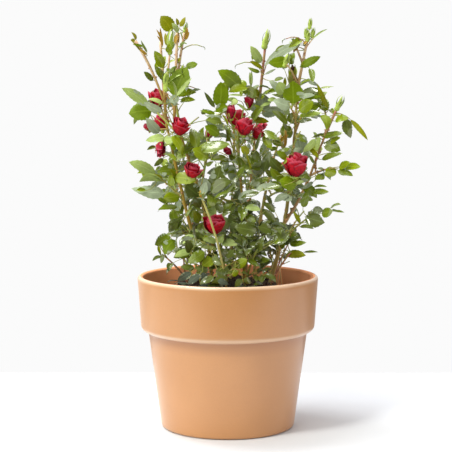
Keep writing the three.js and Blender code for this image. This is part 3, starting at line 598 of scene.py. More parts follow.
# A mass has the cane and the share of it that it starts on, or its spot in the root ball, the tint
# of its leaves, the finish of its twigs, how many finer twigs each spray carries, and its sprays.
# The first is its stem, and the others fork from it. A spray is its fork, its tip, how many leaves
# of what length it grows by the rule, what it ends in and of what size, and placed leaves, each
# [share of the spray, bearing, rise, length, leaflets], in degrees and mm. Tints and finishes are
# numbers in the lists of leaf and twig finishes.
MASSES = [
    ("left_tips", ("cane_left", 1), FRESH, TAN_TWIG, 0, [
        (0, [-88, -10, 510], 3, 46, "none", 0, [0.04, 187, 30, 78, 3], [0.5, 150, 50, 38, 3]),
        (0.2, [-120, -20, 511], 2, 34, "none", 0)]),
    ("left_inner_tips", ("cane_left_inner", 1), FRESH, TAN_TWIG, 0, [
        (0, [-65, -34, 521], 2, 42, "none", 0, [0.2, 330, 44, 66, 3], [0.1, 5, 8, 54, 3]),
        (0.15, [-56, -24, 522], 1, 36, "bud", 13, [0.72, 0, 22, 32, 1]),
        (0.1, [-84, -26, 448], 0, 0, "bud", 25)]),
    ("left_blooms", ("cane_left", 0.86), FRESH, TAN_TWIG, 0, [
        (0, [-91, 14, 431], 2, 62, "bloom", 26),
        (0.2, [-95, -18, 368], 0, 0, "opening", 22),
        (0.35, [-107, 22, 394], 1, 62, "opening", 12)]),
    ("left_front_blooms", ("cane_left_inner", 0.74), FRESH, TAN_TWIG, 0, [
        (0, [-67, -52, 396], 1, 66, "bloom", 25, [0.5, 195, 10, 72, 5]),
        (0.2, [-46, -62, 342], 1, 60, "bloom", 23, [0.4, 205, -14, 66, 5])]),
    ("left_side", ("cane_left", 0.5), FRESH, GREEN_TWIG, 0, [
        (0, [-90, -26, 334], 1, 70, "young", 24, [0.2, 182, 28, 84, 5], [0.85, 190, -8, 62, 5],
         [0.7, 262, 16, 62, 5]),
        (0.4, [-84, 28, 344], 2, 72, "leaf", 26)]),
    ("low_left", (-52, -2), FRESH, RED_TWIG, 0, [
        (0, [-80, -14, 226], 0, 0, "leaf", 16, [0.96, 165, 50, 38, 3], [0.8, 235, 20, 42, 3]),
        (0.25, [-58, -30, 230], 2, 54, "leaf", 20)]),
    ("left_low", ("cane_left", 0.26), MATURE, GREEN_TWIG, 1, [
        (0, [-66, -30, 276], 2, 66, "leaf", 22, [0.6, 188, 24, 62, 5], [0.92, 262, 0, 56, 5]),
        (0.3, [-66, 28, 280], 3, 64, "leaf", 24)]),
    ("centre_left", ("cane_left_inner", 0.52), MATURE, GREEN_TWIG, 0, [
        (0, [-24, -38, 372], 1, 74, "leaf", 13, [0.6, 356, 24, 82, 5], [0.85, 150, 26, 76, 5],
         [0.3, 320, -4, 74, 5], [0.25, 250, -20, 62, 5]),
        (0.45, [-26, 2, 384], 2, 70, "opening", 18)]),
    ("centre_cluster", ("cane_centre", 1), MATURE, GREEN_TWIG, 0, [
        (0, [13, -44, 398], 0, 0, "bloom", 26, [0.2, 176, 28, 78, 5], [0.3, 6, 4, 66, 5],
         [0.1, 250, -14, 66, 5]),
        (0.3, [34, -28, 396], 0, 0, "bloom", 18),
        (0.35, [-2, -34, 420], 0, 0, "opening", 20),
        (0.3, [21, -8, 426], 1, 50, "opening", 20),
        (0.25, [-6, -12, 402], 1, 60, "opening", 16, [0.8, 240, 66, 66, 3])]),
    ("centre_middle", ("cane_centre", 0.5), MATURE, GREEN_TWIG, 1, [
        (0, [-12, -46, 312], 2, 74, "leaf", 26, [0.9, 215, 10, 74, 5], [0.6, 330, -12, 72, 5]),
        (0.2, [40, -42, 334], 4, 74, "leaf", 26)]),
    ("centre_low", ("cane_centre", 0.16), SHADED, GREEN_TWIG, 2, [
        (0, [26, -52, 276], 4, 68, "leaf", 24),
        (0.4, [48, -28, 266], 2, 62, "leaf", 22)]),
    ("slim_tips", ("cane_slim", 1), FRESH, RED_TWIG, 0, [
        (0, [49, 6, 502], 1, 48, "bud", 24, [0.6, 172, 40, 42, 3], [0.52, 350, 24, 62, 3],
         [0.3, 180, 0, 40, 3]),
        (0.08, [19, -6, 450], 1, 60, "bud", 20, [0.7, 190, 14, 60, 3])]),
    ("slim_side", ("cane_slim", 0.66), MATURE, GREEN_TWIG, 0, [
        (0, [48, -24, 366], 3, 70, "leaf", 26),
        (0.4, [30, 24, 390], 2, 70, "leaf", 26)]),
    ("right_tips", ("cane_right", 1), FRESH, TAN_TWIG, 0, [
        (0, [106, 0, 522], 0, 0, "buds", 20, [0.36, 356, 14, 50, 1], [0.72, 172, 30, 32, 1],
         [0.78, 8, 40, 38, 1], [0.3, 196, 34, 60, 3], [0.12, 345, -20, 62, 3]),
        (0.12, [77, -20, 480], 1, 46, "bud", 18),
        (0.18, [87, 10, 466], 0, 0, "spent", 27)]),
    ("right_upper", ("cane_right", 0.8), FRESH, TAN_TWIG, 0, [
        (0, [112, -12, 440], 1, 66, "leaf", 24, [0.75, 2, 2, 62, 5], [0.5, 335, -10, 68, 5],
         [0.95, 20, 44, 48, 3]),
        (0.15, [82, -34, 424], 1, 62, "leaf", 22, [0.7, 262, 72, 60, 3])]),
    ("right_inner", ("cane_right", 0.6), MATURE, GREEN_TWIG, 0, [
        (0, [66, -26, 386], 2, 72, "leaf", 26, [0.8, 200, 0, 70, 5]),
        (0.3, [94, -32, 394], 2, 68, "leaf", 24)]),
    ("right_bloom", ("cane_right", 0.46), MATURE, GREEN_TWIG, 0, [
        (0, [90, -52, 334], 1, 70, "bloom", 34, [0.25, 236, 4, 72, 5], [0.3, 300, -26, 64, 5])]),
    ("outer_tips", ("cane_outer", 1), FRESH, RED_TWIG, 0, [
        (0, [142, -16, 422], 0, 0, "bud", 20, [0.05, 2, -6, 62, 3], [0.4, 130, 46, 50, 3]),
        (0.2, [128, -2, 420], 1, 50, "leaf", 26)]),
    ("outer_side", ("cane_outer", 0.55), FRESH, RED_TWIG, 0, [
        (0, [134, -28, 346], 0, 0, "leaf", 26, [0.4, 350, 0, 62, 5], [0.9, 20, 26, 52, 5],
         [0.5, 250, 10, 56, 5]),
        (0.3, [118, 14, 366], 2, 62, "leaf", 24)]),
    ("outer_low", ("cane_right", 0.22), MATURE, GREEN_TWIG, 0, [
        (0, [108, -34, 284], 1, 60, "leaf", 22, [0.8, 356, 20, 66, 5], [0.4, 345, -20, 62, 5],
         [0.5, 245, -10, 62, 5]),
        (0.35, [102, 16, 286], 2, 66, "leaf", 24)]),
    ("back_left_tips", ("cane_back_left", 1), MATURE, GREEN_TWIG, 0, [
        (0, [-74, 70, 446], 3, 70, "bud", 24),
        (0.2, [-90, 80, 412], 1, 64, "bloom", 26),
        (0.15, [-40, 84, 410], 1, 66, "leaf", 26)]),
    ("back_left_side", ("cane_back_left", 0.56), MATURE, GREEN_TWIG, 1, [
        (0, [-76, 70, 322], 3, 70, "leaf", 26),
        (0.3, [-40, 84, 328], 2, 72, "opening", 20)]),
    ("back_centre_tips", ("cane_back_centre", 1), MATURE, GREEN_TWIG, 0, [
        (0, [10, 96, 398], 3, 66, "bloom", 28),
        (0.2, [38, 84, 390], 2, 66, "opening", 20)]),
    ("back_centre_side", ("cane_back_centre", 0.5), MATURE, GREEN_TWIG, 1, [
        (0, [10, 84, 306], 3, 70, "leaf", 26),
        (0.3, [-22, 60, 304], 2, 66, "leaf", 24)]),
    ("back_right_tips", ("cane_back_right", 1), MATURE, GREEN_TWIG, 0, [
        (0, [88, 80, 460], 3, 62, "bud", 20),
        (0.15, [108, 76, 424], 2, 64, "bloom", 25)]),
    ("back_right_side", ("cane_back_right", 0.5), MATURE, GREEN_TWIG, 1, [
        (0, [96, 62, 322], 3, 72, "leaf", 26),
        (0.3, [50, 84, 320], 2, 68, "leaf", 24)]),
    ("low_front_left", (-34, -34), SHADED, GREEN_TWIG, 2, [
        (0, [-48, -56, 240], 4, 58, "leaf", 22),
        (0.4, [-18, -60, 246], 3, 54, "leaf", 22)]),
    ("low_front", (0, 0), PALE, STRAW_TWIG, 0, [
        (0, [-13, -30, 250], 2, 54, "leaf", 24, [0.98, 186, 0, 50, 3], [0.9, 352, 4, 48, 3],
         [0.5, 250, 0, 46, 5], [0.35, 300, 10, 44, 5]),
        (0.6, [-12, -50, 260], 1, 54, "bloom", 30)]),
    ("low_front_right", (22, -36), SHADED, GREEN_TWIG, 2, [
        (0, [38, -60, 244], 4, 58, "leaf", 22),
        (0.4, [10, -62, 228], 2, 50, "leaf", 20)]),
    ("low_right", (56, -22), MATURE, RED_TWIG, 0, [
        (0, [82, -34, 236], 1, 54, "leaf", 18, [0.9, 0, 0, 48, 3], [0.5, 4, -6, 52, 3]),
        (0.3, [82, -8, 248], 2, 56, "leaf", 20)]),
    ("low_back_right", (52, 30), SHADED, GREEN_TWIG, 2, [
        (0, [80, 52, 242], 4, 60, "leaf", 22),
        (0.4, [48, 66, 256], 1, 56, "leaf", 20)]),
    ("low_back", (4, 56), SHADED, GREEN_TWIG, 2, [
        (0, [12, 88, 240], 4, 60, "leaf", 22),
        (0.4, [-20, 78, 258], 2, 56, "leaf", 20)]),
    ("low_back_left", (-46, 34), SHADED, GREEN_TWIG, 2, [
        (0, [-74, 50, 240], 4, 60, "leaf", 22),
        (0.4, [-46, 64, 256], 1, 56, "leaf", 20)]),
]


def seeded(seed):
    """The same stream of draws from 0 to 1 for a seed as the source's."""
    state = (seed * 2654435761) & 0xFFFFFFFF

    def draw():
        nonlocal state
        state = (state * 1664525 + 1013904223) & 0xFFFFFFFF
        return state / 4294967296
    return draw


def turned_about(way, axis, degrees):
    angle = radians(degrees)
    return (way * cos(angle) + np.cross(axis, way) * sin(angle)
            + axis * np.dot(axis, way) * (1 - cos(angle)))


# The rule of growth, with the source's own numbers
TURN, TURN_SCATTER = 144, 50
LEAST_LIFT, LIFT_SCATTER = 4, 34
LEAF_RISE, OUTWARD_LEAN = 0.25, 0.9
ARCH, RACHIS_SHARE = 17, 0.56
PAIRS = [(0.9, 0.4), (0.48, 0.35)]
LEAFLET_SPREAD, LEAFLET_DROOP = 64, 0.14
STEM_RADII, SIDE_SPRAY_RADII, TWIG_RADII = (1.55, 1.05), (1.25, 0.9), (0.8, 0.6)
STALK_RADII, SHOOT_RADII, TIP_RADII = (0.9, 0.8), (1.7, 1.4), (2.2, 1.7)
STEM_UPRIGHT = 0.16
STALK = 0.09
ROLL = 22  # degrees by which a leaflet may turn about its own midrib
LEVELLED = 1.4  # how far a blade may turn from the face of its leaf towards level
OFF_WOOD, OFF_BLADES, LAST_BLADES = 4.5, 0.2, 900  # how clear a finer twig's leaflet keeps

low_corner, high_corner = (np.array(corner) / MM for corner in cad_box)
leaflets, stalks, rachises, twigs, flowers = [], [], [], [], []
wood = np.concatenate([line_on(limbs[name], 30) for name in CANES])
blade_middles, clear_spots = [], []

# Open places of the crown, where the sky shows between the sprays from the front: [x, z, radius] in
# the plane through the bush's middle. They run on front to back, widening away from the camera.
OPENINGS = np.array([
    [134, 473, 18], [125, 252, 18], [-121, 460, 13], [-90, 277, 11], [164, 366, 12], [-103, 294, 11],
    [137, 439, 8], [-42, 411, 12], [112, 217, 12], [64, 403, 9], [101, 260, 8], [123, 304, 8],
    [151, 316, 17], [-98, 513, 9], [-102, 455, 7], [177, 432, 25], [-21, 466, 11], [63, 468, 8],
    [83, 217, 7], [-39, 429, 8], [103, 397, 8], [107, 241, 7], [133, 302, 9], [-155, 468, 24],
    [-137, 331, 11], [153, 421, 7], [-40, 515, 9], [91, 240, 5], [190, 418, 26], [-113, 241, 13],
    [-29, 347, 7], [13, 500, 15], [123, 541, 15], [71, 293, 8], [74, 511, 5], [-113, 273, 13],
    [-18, 434, 7], [143, 229, 21], [-149, 388, 18], [-142, 355, 11], [-103, 355, 5], [-8, 500, 18],
    [-17, 526, 26], [75, 539, 16], [161, 454, 16], [-115, 484, 9], [-102, 485, 6], [-106, 479, 5],
    [-97, 455, 6], [-82, 284, 8], [99, 219, 6], [138, 302, 8], [-118, 455, 9], [156, 424, 8],
    [-111, 241, 12], [100, 397, 6], [75, 289, 8], [159, 371, 10], [-102, 518, 9], [-111, 358, 6],
    [-87, 265, 7], [-83, 281, 7], [-132, 334, 11], [146, 358, 5], [83, 238, 5], [116, 403, 7],
    [138, 353, 4], [109, 294, 4], [75, 278, 4], [-77, 222, 5], [19, 489, 7], [-131, 432, 5],
    [-106, 244, 9], [-69, 497, 4], [-81, 493, 4], [-102, 473, 4], [101, 273, 4], [-96, 217, 4],
    [167, 345, 4], [110, 494, 5],
], float)
RIM_Z, RIM_INSIDE = 206, 107


def has_room(base, way, length):
    """False for a leaflet that would reach through the pot, the compost or the bush's own box."""
    for share in (0.3, 0.65, 1.0):
        spot = base + way * length * share
        out = np.hypot(spot[0], spot[1])
        if spot[2] < SOIL_Z + 3 and out < BALL_RADIUS + 2 or spot[2] < FILL_Z + 4:
            return False
        if spot[2] < RIM_Z and out > RIM_INSIDE:
            return False
        if np.any(spot < low_corner - 1) or np.any(spot > high_corner + 1):
            return False
    return True


def hides(base, way, size):
    """True for a leaflet that would stand in front of a flower or of a leaf drawn by itself, or in
    an open place of the crown."""
    middle = base + way * size * 0.5
    away = np.hypot(clear_spots[:, 0] - middle[0], clear_spots[:, 2] - middle[2])
    if np.any((middle[1] < clear_spots[:, 1] + 4) & (away < clear_spots[:, 3] + 0.28 * size)):
        return True
    for share, half in ((0.2, 0.06), (0.45, 0.14), (0.7, 0.1), (1.0, 0)):
        spot = base + way * size * share - CAMERA_SPOT
        x, z = (spot[i] * -CAMERA_SPOT[1] / spot[1] + CAMERA_SPOT[i] for i in (0, 2))
        if np.any(np.hypot(OPENINGS[:, 0] - x, OPENINGS[:, 1] - z) < OPENINGS[:, 2] + half * size):
            return True
    return False


def add_blade(mass, draws, base, way, up, length, tint, width=0.62, fold=None, droop=None, curl=None,
              under=None):
    """One leaflet with its own fold, arch, curl and twist."""
    leaflets.append(dict(
        mass=mass, base=base, way=way, up=up, length=length, tint=tint,
        under=under if under is not None else (UNDER_FRESH if tint in (FRESH, YOUNG, PALE) else UNDER),
        width=width * draws.uniform(0.9, 1.14),
        fold=draws.choice((4, 14, 24, 34, 44)) + draws.uniform(-4, 6) if fold is None else fold,
        spread=draws.uniform(-16, 18), curl=draws.uniform(0.1, 1.25) if curl is None else curl,
        droop=draws.uniform(0.0, 0.22) if droop is None else droop, sway=draws.normal(0, 0.05),
        twist=draws.normal(0, 26), wave=draws.uniform(0.0, 0.16), phase=draws.uniform(0, 6.3)))
    blade_middles.append(base + way * length * 0.5)


def compound_leaf(mass, draws, root, heading, face, length, count, tint, extra=False, **look):
    """A leaf as the source grows it: an arched rachis, an end leaflet and pairs of side leaflets."""
    side = unit(np.cross(heading, face))
    rise = turned_about(heading, side, ARCH)
    end = root + rise * length * RACHIS_SHARE
    normal = unit(np.cross(side, rise))
    tip = root + heading * length
    blades = [(0.99, unit(tip - end), np.linalg.norm(tip - end))]
    for share, size in PAIRS[:(count - 1) // 2]:
        for turn in (LEAFLET_SPREAD, -LEAFLET_SPREAD):
            way = unit(turned_about(rise, normal, turn) - normal * LEAFLET_DROOP)
            blades.append((share, way, length * size))
    kept, reach = [], 0
    for share, way, size in blades:
        base = root + (end - root) * share
        if extra:
            middle = base + way * size * 0.5
            near = np.array(blade_middles[-LAST_BLADES:])
            if (np.min(np.linalg.norm(wood - middle, axis=1)) < OFF_WOOD
                    or np.min(np.linalg.norm(near - middle, axis=1)) < OFF_BLADES * size):
                continue
        if has_room(base, way, size) and not hides(base, way, size):
            kept.append((base, way, size))
            reach = max(reach, share)
    if not kept or kept[0][2] != blades[0][2] and extra:
        return
    run, sag = (end - root) * reach, normal * length * 0.02 * reach
    rachises.append((mass, np.array([root, root + run * 0.35 + sag, root + run * 0.7 + sag * 0.8,
                                     root + run]), length))
    for base, way, size in kept:
        level = unit(normal + UP * draws.uniform(0, LEVELLED))
        across = unit(np.cross(way, level))
        up = turned_about(unit(np.cross(across, way)), way, draws.normal(0, ROLL))
        stalk = size * STALK
        stalks.append((mass, np.array([base, base + way * (stalk + 0.12 * size)])))
        add_blade(mass, draws, base + way * stalk, way, up, size - stalk, tint, **look)


def rule_leaf(draw, curve, share, turn, leaf):
    """One leaf's spot, heading, face, length and leaflets, drawn in the source's order."""
    spot, along, right, back = frame_on(curve, share)
    angle = radians(turn + (draw() - 0.5) * TURN_SCATTER)
    lift = radians(LEAST_LIFT + LIFT_SCATTER * draw())
    heading = unit(along * sin(lift) + right * cos(lift) * cos(angle)
                   + back * cos(lift) * sin(angle) + UP * LEAF_RISE)
    outwards = unit(spot * (1, 1, 0))
    scatter = np.array([draw() - 0.5, draw() - 0.5, draw() - 0.5])
    face = UP + outwards * OUTWARD_LEAN + scatter
    length = leaf * (0.85 + 0.3 * draw())
    return spot, heading, face, length, 3 if draw() < 0.4 else 5


def grow_leaves(mass, draw, draws, curve, count, leaf, tint, extra=False):
    start = draw() * 360
    for k in range(count):
        share = 0.2 + 0.75 * (k + 0.5) / count
        spot, heading, face, length, number = rule_leaf(draw, curve, share, start + k * TURN, leaf)
        compound_leaf(mass, draws, spot, heading, face, length, number, tint, extra)


# Flowers that nod away from the end of their spray on a short stalk: the place of the hip and the
# way that the flower faces.
NODS = {
    ("left_blooms", 0): ([-93, 8, 426], [0, -0.15, 1]),
    ("left_blooms", 1): ([-86, -20, 380], [-0.25, -0.45, -1]),
    ("left_blooms", 2): ([-105, 12, 394], [-0.4, -0.2, 0.7]),
    ("left_front_blooms", 0): ([-63, -52, 391], [0.22, -0.3, 1]),
    ("left_front_blooms", 1): ([-47, -62, 337], [0.12, -0.55, 0.85]),
    ("centre_left", 0): ([-26, -20, 382], [0.2, -0.3, -0.4]),
    ("centre_cluster", 0): ([21, -44, 390], [-0.02, -0.16, 1]),
    ("centre_cluster", 1): ([36, -30, 385], [0.3, -0.3, 0.9]),
    ("centre_cluster", 2): ([5, -36, 411], [-0.12, -0.1, 1]),
    ("centre_cluster", 3): ([28, -10, 424], [0.04, -0.1, 1]),
    ("centre_cluster", 4): ([4, -20, 364], [-0.5, -0.5, 0.5]),
    ("right_bloom", 0): ([86, -52, 338], [0.04, -0.2, 1]),
    ("back_left_tips", 1): ([-90, 82, 392], [-0.2, 0.3, 1]),
    ("back_right_tips", 1): ([91, 88, 430], [0.2, 0.6, 0.8]),
    ("low_front", 1): ([-17, -54, 264], [-0.06, -0.4, 1]),
    ("right_tips", 0): ([102, 0, 508], [0.06, -0.05, 1]),
    ("right_tips", 1): ([74, -14, 478], [0.3, -0.1, 1]),
    ("right_tips", 2): ([85, 6, 459], [0.02, -0.1, 1]),
    ("slim_tips", 0): ([48, 6, 503], [0.2, -0.05, 1]),
    ("left_inner_tips", 2): ([-79, -42, 448], [0.02, -0.1, 1]),
}
# Side sprays as stout as a stem, with their radii at the fork and at the tip
STOUT = {("left_tips", 1): (1.4, 2.1), ("left_inner_tips", 1): (1.7, 1.7)}

stems = []
for seed, (name, start, tint, twig_finish, fine, sprays) in enumerate(MASSES, 1):
    draw, draws = seeded(seed), np.random.default_rng(1000 + seed)
    at_tip = start[1] == 1
    root = root_of(start)
    if at_tip:
        root = root - heading_on(limbs[start[0]], 1) * 2
    curves = []
    for fork, tip, leaves, leaf, end, size, *placed in sprays:
        foot = spot_on(curves[0], fork) if curves else root
        curve = bend(foot, np.array(tip, float), 0 if not curves and at_tip else STEM_UPRIGHT)
        radii = SIDE_SPRAY_RADII if curves else TIP_RADII if at_tip else STEM_RADII
        twigs.append((name, curve, STOUT.get((name, len(curves)), radii), twig_finish, 6))
        point, heading = spot_on(curve, 1), heading_on(curve, 1)
        way = heading
        if (name, len(curves)) in NODS:
            place, way = (np.array(given, float) for given in NODS[name, len(curves)])
            way = unit(way)
            knee = place - way * 0.5 * np.linalg.norm(place - point)
            twigs.append((name, (point - heading * 3, knee, place), STALK_RADII, GREEN_TWIG, 5))
            point = place
        curves.append(curve)
        flowers.append((name, end, point, way, heading, size, tint))
    stems.append((name, sprays, tint, fine, draw, draws, curves))
